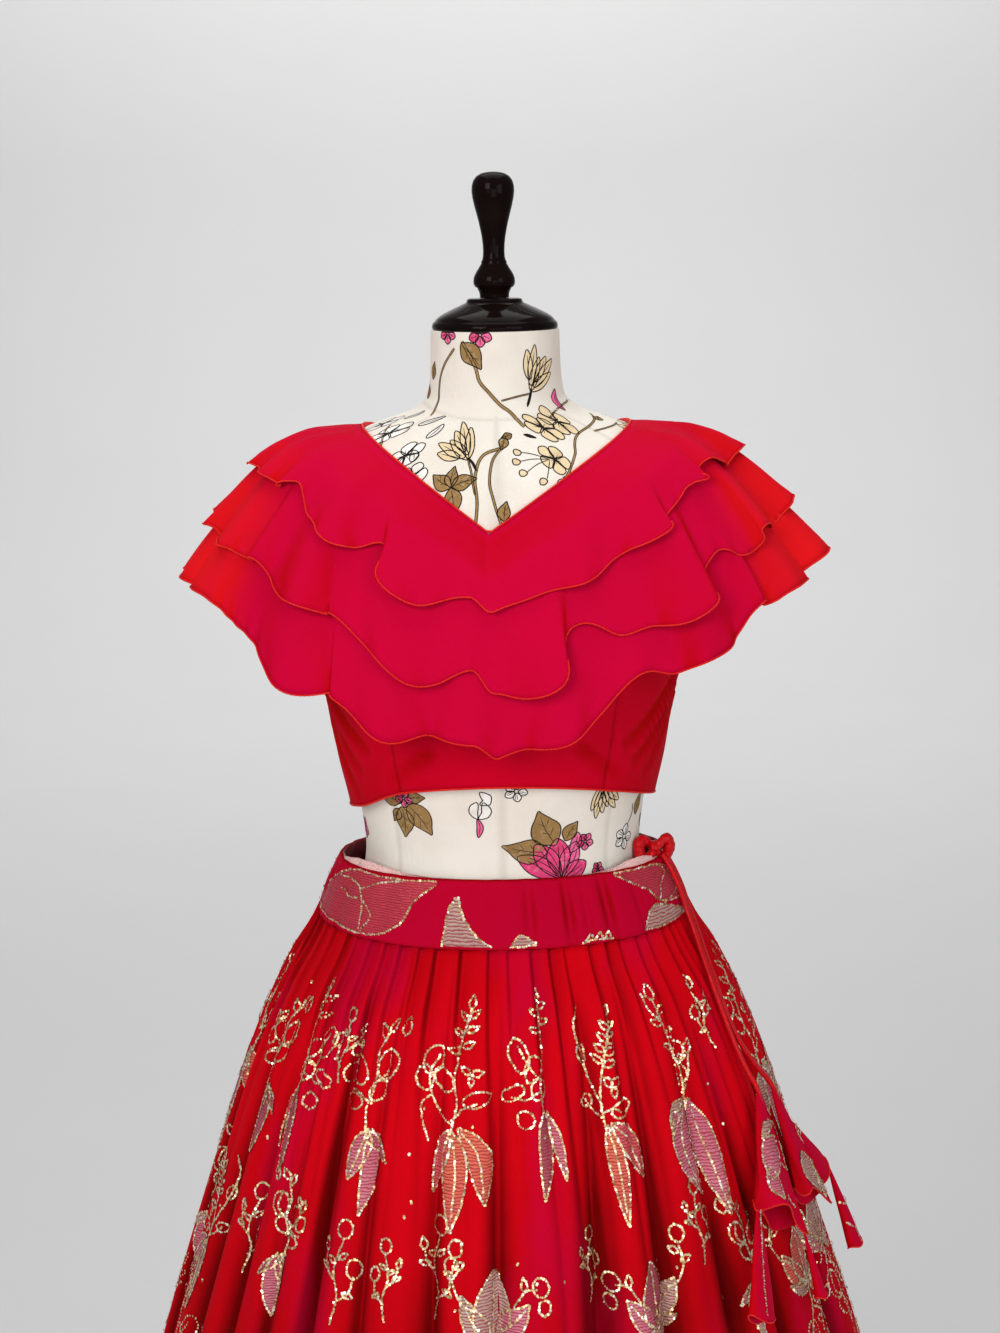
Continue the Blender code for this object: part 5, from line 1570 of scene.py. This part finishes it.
# On the band the cloth's motifs are cut through by its edges: a tone, its lower edge and its upper edge,
# in azimuths and heights in mm
bandShapes = [
    (
        "cherry", [(-88, 994), (-60, 991), (-47, 990), (-38, 993), (-31, 1003), (-28, 1018), (-21, 1031)],
        [(-88, 998), (-81, 1012), (-70, 1027), (-58, 1033), (-46, 1032), (-34, 1032), (-21, 1033)],
    ),
    (
        "silver", [(-17, 989), (-16.5, 1001), (-16, 1013), (-14, 1023)],
        [(-3, 989), (-7, 996), (-11, 1009), (-13.4, 1023)],
    ),
    ("silver", [(1.5, 989), (5, 989), (8, 990)], [(1.7, 990), (4, 997), (8, 991)]),
    (
        "cherry", [(39, 1032.5), (46, 1024), (53, 1016), (58, 1006), (77, 1001)],
        [(39.5, 1033.4), (50, 1033), (63, 1032), (74, 1026), (86, 1014)],
    ),
    (
        "silver", [(46, 990), (52, 989), (60, 989), (73, 990)],
        [(46.4, 991), (51, 1003), (57, 1004), (73, 992)],
    ),
    ("rose", [(104, 996), (116, 990), (130, 994)], [(104, 1000), (116, 1018), (130, 1000)]),
    ("silver", [(150, 989), (156, 989), (164, 990)], [(150, 991), (155, 1012), (164, 991)]),
    ("cherry", [(176, 1014), (190, 998), (206, 1006)], [(176, 1018), (190, 1032), (206, 1016)]),
    ("silver", [(222, 989), (230, 989), (238, 989)], [(222, 990), (228, 1004), (238, 991)]),
    ("rose", [(246, 1006), (256, 994), (266, 1000)], [(246, 1010), (256, 1030), (266, 1010)]),
]
bandLines = [
    [(-72, 1025), (-60, 1025), (-53, 1021), (-49, 1008), (-48, 992)],
    [(-66, 1017), (-58, 1013), (-52, 1014)], [(-52, 1021), (-43, 1028), (-34, 1031)],
    [(-47, 992), (-44, 1004), (-50, 1014)],
    [(23, 990), (25, 994), (26, 990), (28, 995), (29, 990), (31, 994), (32, 990)],
    [(22, 989), (27, 990), (33, 989)], [(64, 1032), (69, 1025), (62, 1018), (57, 1006)],
    [(69, 1025), (80, 1022)], [(56, 1003), (66, 1006), (78, 1012)], [(116, 992), (114, 1004), (117, 1016)],
    [(180, 1016), (190, 1012), (202, 1010)], [(192, 1000), (188, 1014), (194, 1028)],
    [(252, 1000), (256, 1012), (254, 1024)],
]


def onBand(points, lift):
    points = np.asarray(points, float)
    heights = points[..., 1] * mm
    normals = band.level(points[..., 0], heights)
    return bandSurface(points[..., 0], heights) + normals * lift, normals


def bandLine(points, sequins):
    # sequins an even pitch apart along a line of azimuths and heights
    places, normals = onBand(curveThrough(points, 0.4), gold["lift"])
    gone = lengthsAlong(places)
    wanted = np.arange(0, gone[-1], gold["bandPitch"])
    sequins.places.append(readAlong(wanted, gone, places))
    sequins.normals.append(readAlong(wanted, gone, normals))


sequins, patches = Sequins(), Patches()
for tone, *outline in bandShapes:
    edges = []
    for line in outline:
        edges.append(respaced(curveThrough(line, 0.5), 40))
        bandLine(line, sequins)
    local = edges[0][:, None] + (edges[1] - edges[0])[:, None] * np.linspace(0, 1, 10)[None, :, None]
    placed, _ = onBand(local, 0.5 * mm)
    # the broad cherry fills have finer rows of thread
    threads = np.array([2.2, 1.0]) * (1.7 if tone == "cherry" else 1.2)
    patches.add(local * threads, placed, *threadTones[tone])
for line in bandLines:
    bandLine(line, sequins)
sequins.make("band_sequins", "red_georgette")
patches.make("band_thread_fill", threadFill, "red_georgette")


degreesInRadian = 57.3


def tasselLay(tassel, side, share):
    # the tassel's own cloth: across is round it and up is towards its top
    def surface(sides, shares):
        return tassel.point(np.clip(shares, 0.02, 1.0), sides)

    def lay(points, lift):
        points = np.asarray(points, float)
        shares = share - points[..., 1] / tassel.row.length
        wide = tassel.row.wide * flare(np.clip(shares, 0.02, 1))
        sides = side + points[..., 0] / (wide / 2) * degreesInRadian
        around = surface(sides + 2, shares) - surface(sides - 2, shares)
        along = surface(sides, shares + 0.01) - surface(sides, shares - 0.01)
        normals = unit(np.cross(around, along))
        outside = (normals * tassel.out).sum(axis=-1, keepdims=True) * sine(side)
        normals = normals * np.sign(outside + 1e-9)
        return surface(sides, shares) + normals * lift, normals
    return lay


sequins, patches = Sequins(), Patches()
tasselWork = [
    (
        "tassel_bell_front", 90, 0.5,
        [
            [(-16, 32), (-12, 27), (-7, 34)], [(-12, 27), (-14, 12), (-16, -4)],
            [(-18, -7), (-10, -4), (-4, 0)], [(-14, -40), (-6, -36), (-2, -33)],
            [(-10, 44), (-8, 38), (-4, 44)],
        ],
        [
            ([(-3, 22), (6, 10), (16, -16)], 25, "rose"), ([(15, -4), (15, -22), (12, -42)], 13, "rose"),
            ([(-5, 34), (4, 31), (14, 22)], 8, "silver"),
        ],
    ),
    (
        "tassel_bell_back", 80, 0.6, [[(-8, 36), (-4, 24), (-8, 12)]],
        [([(4, 8), (6, -14), (1, -46)], 22, "silver"), ([(-7, -4), (-9, -22), (-6, -44)], 12, "silver")],
    ),
    (
        "tassel_cone_back_low", 90, 0.6,
        [[(-7, 12), (0, 9), (7, 13)], [(-9, -8), (0, -14), (9, -6)], [(0, -14), (1, -26)]], [],
    ),
    ("tassel_cone_back_high", 90, 0.2, [[(-3, 8), (2, 4), (6, 8)], [(-2, 2), (4, 0)]], []),
    ("tassel_cone_front_low", 60, 0.5, [[(2, 40), (6, 20), (9, 0), (12, -22), (13, -40)]], []),
]
for name, side, share, lines, fills in tasselWork:
    lay = tasselLay(tassels[name], side, share)
    for spine, wide, tone in fills:
        local = petalGrid(spine, wide)
        placed, _ = lay(local, tasselCloth["fillLift"])
        patches.add(local[:, ::-1], placed[:, ::-1], *threadTones[tone])
        lines += [local[::3, 0], local[::3, -1]]
    sequins.along(lay, lines)
sequins.make("tassel_sequins", "red_georgette")
patches.make("tassel_thread_fill", threadFill, "red_georgette")
print("embroidery made")

# The cover's flower print: brown twigs, olive-tan leaves, cream and pink blossom, all in ink outline
inkTones = {
    "twig": (0.34, 0.205, 0.075), "leaf": (0.31, 0.185, 0.065), "cream": (0.78, 0.62, 0.38),
    "pink": (0.72, 0.055, 0.19), "rosePink": (0.80, 0.13, 0.30), "white": (0.86, 0.835, 0.785),
    "ink": (0.012, 0.008, 0.006),
}
ink = {
    "fillLift": 0.10 * mm, "lineLift": 0.17 * mm, "outline": 0.62, "vein": 0.42, "leafVein": 0.4,
    "stamens": 11,
}


def spoke(turn, reaches, x=0.0, y=0.0):
    # points at these distances from a place, all in one direction
    c, s = heading(turn)
    return [(x + c * reach, y + s * reach) for reach in reaches]


class CoverPrint:
    # printed patches and ink lines over the cover; lay is set to where the motif in hand lies
    def __init__(self):
        self.fills, self.lines, self.lay = Patches(), Patches(), None

    def strip(self, places, normals, wide, tone, patches, closed=False, taper=True):
        # a printed line over the cover, which thins out at its ends
        if closed:
            places, normals = np.concatenate([places, places[:1]]), np.concatenate([normals, normals[:1]])
        aside = unit(np.cross(normals, unit(np.gradient(places, axis=0))))
        count = np.arange(len(places))
        thin = np.ones(len(places))
        if taper and not closed:
            thin = np.clip((np.minimum(count, count[::-1]) + 1) / 3, 0.4, 1)
        half = wide * 0.75 * mm * thin
        placed = places[:, None] + aside[:, None] * (half[:, None] * np.array([1.0, -1.0]))[..., None]
        local = np.stack(np.broadcast_arrays(count[:, None] * 1.5, np.array([[0.0, 1.0]])), axis=-1)
        patches.add(local, placed, inkTones[tone])

    def line(self, points, wide=0.5, closed=False):
        places, normals = self.lay(curveThrough(points, 1.4, closed), ink["lineLift"])
        self.strip(places, normals, wide, "ink", self.lines, closed)

    def petal(self, spine, wide, tone, blunt=0.75, veins=1, least=0.1, point=0.85):
        local = petalGrid(spine, wide, 12, 5, blunt, least, point)
        placed, _ = self.lay(local, ink["fillLift"])
        self.fills.add(local[:, ::-1], placed[:, ::-1], inkTones[tone])
        self.line(np.concatenate([local[:, 0], local[::-1, -1]])[::2], ink["outline"], True)
        for vein in range(veins):
            self.line(local[1:-2, 2 - vein][::2], ink["vein"])

    def leaf(self, x, y, turn, long, wide=0.56):
        c, s = heading(turn)
        bent = (x + long * 0.5 * c - long * 0.05 * s, y + long * 0.5 * s + long * 0.05 * c)
        tip = (x + long * c, y + long * s)
        self.petal([(x, y), bent, tip], long * wide * 1.12, "leaf", 0.78, 1, 0.02, 1.25)
        for place, way in ((0.3, 42), (0.3, -42), (0.55, 40), (0.55, -40)):
            start = (x + long * place * c, y + long * place * s)
            self.line(spoke(turn + way, (0, long * 0.2), *start), ink["leafVein"])

    def blossom(self, x, y, size, tone, start=18):
        for number in range(5):
            spine = spoke(start + 360 * number / 5, (size * 0.08, size * 0.6, size), x, y)
            self.petal(spine, size * 0.84, tone, 1.7, 0)
        for number in range(ink["stamens"]):
            reach = size * (0.34 + 0.14 * (number % 2))
            self.line(spoke(number * 360 / ink["stamens"], (0, reach), x, y))

    def buds(self, x, y, turn, long, count=6):
        # a closed head of narrow petals
        for number in range(count):
            way = turn + (number - (count - 1) / 2) * 13
            reach = long * (0.78 + 0.22 * ((number * 5) % 3) / 2)
            start = long * 0.12 * (number % 3)
            self.petal(spoke(way, (start, start + reach * 0.5, reach), x, y), long * 0.24, "cream", 0.9, 1)

    def twig(self, points, wide):
        # places are azimuth and height in mm, as they lie on the cover
        fine = curveThrough(points, 1.0)
        azimuth, height = fine[:, 0], fine[:, 1] * mm
        places, normals = coverSurface(azimuth, height), form.outward(azimuth, height)
        aside = unit(np.cross(normals, unit(np.gradient(places, axis=0))))
        wide = wide * 0.56
        self.strip(places + normals * ink["fillLift"], normals, wide, "twig", self.fills, taper=False)
        for side in (-1, 1):
            edge = places + aside * side * wide * 0.75 * mm + normals * ink["lineLift"]
            self.strip(edge, normals, ink["leafVein"], "ink", self.lines)

    def spray(self, kind):
        if kind == "cream pair":
            self.blossom(-7, -1, 10.5, "cream", 30)
            self.blossom(9, 3, 10.5, "cream")
            self.buds(-20, -8, 150, 7, 2)
        elif kind == "cream one":
            self.blossom(0, 0, 11, "cream", 50)
            for x, y in ((-22, 6), (-27, -1), (-26, -9), (-14, -15)):
                self.line([(-4, 0), (x * 0.6, y * 0.5 + 1), (x, y)])
                self.petal([(x + 1, y), (x - 2, y), (x - 5, y - 2)], 4.5, "cream", 1.0, 0)
        elif kind == "white":
            self.blossom(0, 0, 10.5, "white", 10)
            self.petal([(10, 8), (14, 12), (17, 17)], 6, "white")
        elif kind == "buds":
            self.buds(0, 0, 90, 30)
            self.line([(0, -12), (1, -5), (0, 2)], 1.6)
        elif kind == "leaf":
            self.leaf(0, 0, 0, 21)
        elif kind == "leaves":
            for turn, long in ((150, 20), (95, 17), (20, 20), (-80, 22)):
                self.leaf(0, 0, turn, long)
        elif kind == "bud":
            self.petal([(0, -9), (-2, 0), (0, 9)], 6.5, "rosePink", 1.0, 2)
        elif kind == "pink":
            for turn in (60, 120, 200, 270, 340):
                self.petal(spoke(turn, (1, 6, 11)), 9, "rosePink" if turn % 40 else "pink", 1.1, 1)
        elif kind == "fan":
            for turn, long, wide in ((148, 40, 17), (124, 38, 18), (66, 34, 17), (28, 26, 15), (96, 36, 20)):
                tone = "rosePink" if turn % 4 else "pink"
                self.petal(spoke(turn, (0, long * 0.5, long)), wide, tone, 1.15, 2)
            for x, y, turn, long in ((-5, 30, 116, 36), (-12, 24, 168, 33), (3, 33, 58, 20)):
                self.leaf(x, y, turn, long, 0.6)
            self.petal([(8, 22), (13, 30), (14, 40)], 10, "rosePink", 1.0, 1)
        elif kind == "outline":
            for turn in (80, 150, 210, 280, 350):
                self.petal(spoke(turn, (2, 7, 13)), 9, "white", 1.1, 2)
            self.line([(4, 12), (10, 22), (8, 32)], 0.8)
        elif kind == "drop":
            self.petal([(0, 8), (2, 0), (0, -10)], 5.5, "rosePink", 1.0, 1)
            self.petal([(0, 8), (-3, 16), (1, 24)], 8, "white", 1.1, 0)
            self.petal([(1, 8), (8, 14), (6, 24)], 8, "white", 1.1, 0)
            self.petal([(3, 22), (10, 26), (4, 34)], 8, "white", 1.1, 0)


twigs = [
    ([(-30, 1472), (-18, 1452), (-14, 1440), (-6, 1431), (3, 1421), (10, 1414), (13, 1403)], 2.8),
    ([(-38, 1466), (-50, 1453), (-56, 1440), (-54, 1425), (-46, 1412)], 2.0),
    ([(4, 1424), (17, 1427), (29, 1429)], 1.3), ([(31, 1409), (52, 1417), (76, 1421)], 1.5),
    ([(2, 1388), (-4, 1382), (-5, 1367), (-4, 1346), (-4.5, 1320)], 2.5),
    ([(2, 1389), (-1, 1379), (-1.5, 1362), (-0.5, 1346), (1, 1320)], 2.0),
    ([(-8, 1379), (-6, 1368), (-4.5, 1352)], 1.6), ([(74, 1410), (35, 1397), (24, 1381), (17, 1364)], 2.0),
    ([(44, 1398), (74, 1402)], 1.6), ([(-62, 1404), (-46, 1392), (-30, 1372)], 1.6),
    ([(120, 1470), (135, 1450), (128, 1430), (140, 1412), (150, 1396)], 2.6),
    ([(200, 1466), (215, 1446), (206, 1424), (222, 1406)], 2.4),
    ([(100, 1112), (112, 1092), (108, 1066), (120, 1046)], 2.2),
    ([(190, 1110), (204, 1088), (198, 1062)], 2.2), ([(248, 1104), (258, 1084), (252, 1060)], 2.0),
    ([(168, 1404), (180, 1386), (192, 1378)], 2.2),
]
Printed = namedtuple("Printed", "kind azimuth height scale turn tall mirror", defaults=(0, 1.0, 1))
prints = [
    ("leaf", -31, 1470, 1.3, -50), ("pink", -46, 1478, 0.8), ("pink", -13, 1477, 0.9),
    ("buds", 30, 1431, 1.15, -30, 1.1), ("bud", 56, 1421, 1.0, -20, 1.3),
    ("cream pair", 26, 1403, 1.1, 0, 1.6), ("cream one", 16.5, 1378, 1.05, 0, 1.3),
    ("leaf", 3, 1396, 0.6, -110), ("leaf", 6, 1398, 0.45, -160), ("buds", -8, 1379, 1.05, 48, 1.25),
    ("white", -50, 1398, 1.1, 0, 1.8), ("white", -29, 1382, 1.1, 40, 1.5),
    ("white", -22, 1366, 1.05, 80, 1.3), ("leaves", -10.5, 1358, 1.0, 0, 1.15), ("leaf", 1, 1332, 0.8, 80),
    ("white", 17, 1358, 0.8), ("leaf", -70, 1440, 0.7, 80), ("leaf", -74, 1424, 0.6, 110),
    ("leaf", 62, 1405, 0.6, 30), ("white", -72, 1404, 0.8, 0, 2.2), ("cream pair", 76, 1396, 0.8, 0, 1.8),
    ("pink", -38, 1102, 0.8), ("leaf", -40, 1098, 1.15, 158), ("leaf", -40, 1094, 1.35, -92),
    ("leaf", -37, 1098, 1.6, -56), ("leaf", -36, 1102, 0.8, 8), ("leaf", -42, 1092, 0.7, -120),
    ("drop", -8, 1080, 0.95), ("outline", 4, 1112, 0.75), ("fan", 22, 1032, 1.0), ("pink", 33, 1062, 0.72),
    ("buds", 38, 1112, 1.05, 197), ("pink", 40, 1036, 0.55), ("outline", 58, 1058, 0.9),
    ("leaf", 68, 1074, 1.0, 76), ("pink", -78, 1062, 0.9), ("leaves", 86, 1060, 1.0),
    ("fan", 118, 1040, 0.9, 0, 1.0, -1), ("cream pair", 146, 1080, 0.9), ("buds", 162, 1050, 0.9),
    ("pink", 180, 1092, 0.9), ("leaves", 188, 1064, 1.0, 60), ("white", 212, 1086, 1.0),
    ("fan", 234, 1040, 0.85), ("cream one", 262, 1080, 0.9), ("leaf", 112, 1452, 1.0, -60),
    ("pink", 140, 1462, 0.8), ("cream pair", 156, 1392, 0.9), ("buds", 172, 1436, 1.0, 20),
    ("leaf", 196, 1456, 1.0, -120), ("white", 208, 1396, 0.9), ("leaves", 180, 1380, 0.8, 180),
    ("leaf", 236, 1440, 0.9, 90), ("pink", 250, 1458, 0.7), ("cream one", 118, 1404, 0.8),
    ("buds", 240, 1408, 0.8, 150),
]
pattern = CoverPrint()
for item in (Printed(*row) for row in prints):
    pattern.lay = layOn(coverSurface, form.outward, item.azimuth, item.height * mm, item.scale, item.mirror,
                        item.turn, item.tall)
    pattern.spray(item.kind)
for points, wide in twigs:
    pattern.twig(points, wide)
pattern.fills.make("cover_print_colours", inkFill, "printed_cotton")
pattern.lines.make("cover_print_lines", inkBlack, "printed_cotton")
print("cover print made")

# Floor, backdrop and soft studio light
stage = {"half": 9.0, "back": 7.2, "radius": 1.8, "tall": 7.0}
profile = [(-stage["half"], 0.0), (stage["back"] - stage["radius"], 0.0)]
for step in range(1, 17):
    turn = math.pi / 2 * step / 16
    profile.append((stage["back"] - stage["radius"] + stage["radius"] * math.sin(turn),
                    stage["radius"] * (1 - math.cos(turn))))
profile.append((stage["back"], stage["tall"]))
points = [(x, y, z) for y, z in profile for x in (-stage["half"], stage["half"])]
faces = [(2 * i, 2 * i + 1, 2 * i + 3, 2 * i + 2) for i in range(len(profile) - 1)]
sweepMesh = bpy.data.meshes.new("studio_sweep")
sweepMesh.from_pydata(points, [], faces)
sweepMesh.shade_smooth()
paper = Finish("studio_paper", 0.9)
paper.feed("Base Color", paper.mix(paper.noise(2.0), (0.74, 0.735, 0.73), (0.77, 0.765, 0.76)))
sweepMesh.materials.append(paper.material)
sweep = bpy.data.objects.new("studio_sweep", sweepMesh)
bpy.context.scene.collection.objects.link(sweep)

Lamp = namedtuple("Lamp", "name place target wide tall watts tint")
lamps = [
    ("key_softbox", (-1.5, -2.6, 2.6), (0, 0, 1.1), 1.3, 1.5, 47, (1.0, 0.98, 0.96)),
    ("fill_softbox", (1.9, -2.4, 1.9), (0, 0, 1.0), 1.2, 1.7, 20, (0.98, 0.99, 1.0)),
    ("front_panel", (0.2, -3.2, 1.2), (0, 0, 0.9), 1.6, 1.2, 13, (1.0, 1.0, 1.0)),
    ("strip_left", (-0.9, -1.9, 1.75), (0, 0, 1.52), 0.04, 0.9, 2.3, (1.0, 1.0, 1.0)),
    ("strip_right", (0.8, -1.9, 1.75), (0, 0, 1.52), 0.03, 0.9, 1.7, (1.0, 1.0, 1.0)),
    ("top_panel", (0.0, 0.4, 3.2), (0, 0, 1.0), 1.8, 1.8, 26, (1.0, 1.0, 1.0)),
    ("wall_panel", (0.0, 4.4, 5.0), (0, 7.2, 1.4), 5.0, 1.2, 150, (1.0, 1.0, 1.0)),
]
for lamp in (Lamp(*row) for row in lamps):
    data = bpy.data.lights.new(lamp.name, "AREA")
    data.shape, data.size, data.size_y = "RECTANGLE", lamp.wide, lamp.tall
    data.energy, data.color = lamp.watts, lamp.tint
    shone = bpy.data.objects.new(lamp.name, data)
    shone.location = lamp.place
    shone.rotation_euler = (Vector(lamp.target) - Vector(lamp.place)).to_track_quat("-Z", "Y").to_euler()
    bpy.context.scene.collection.objects.link(shone)
world = bpy.data.worlds.new("studio")
world.use_nodes = True
world.node_tree.nodes["Background"].inputs["Color"].default_value = (0.9, 0.92, 0.95, 1)
world.node_tree.nodes["Background"].inputs["Strength"].default_value = 0.36
bpy.context.scene.world = world
bpy.context.scene.view_settings.view_transform = "Standard"
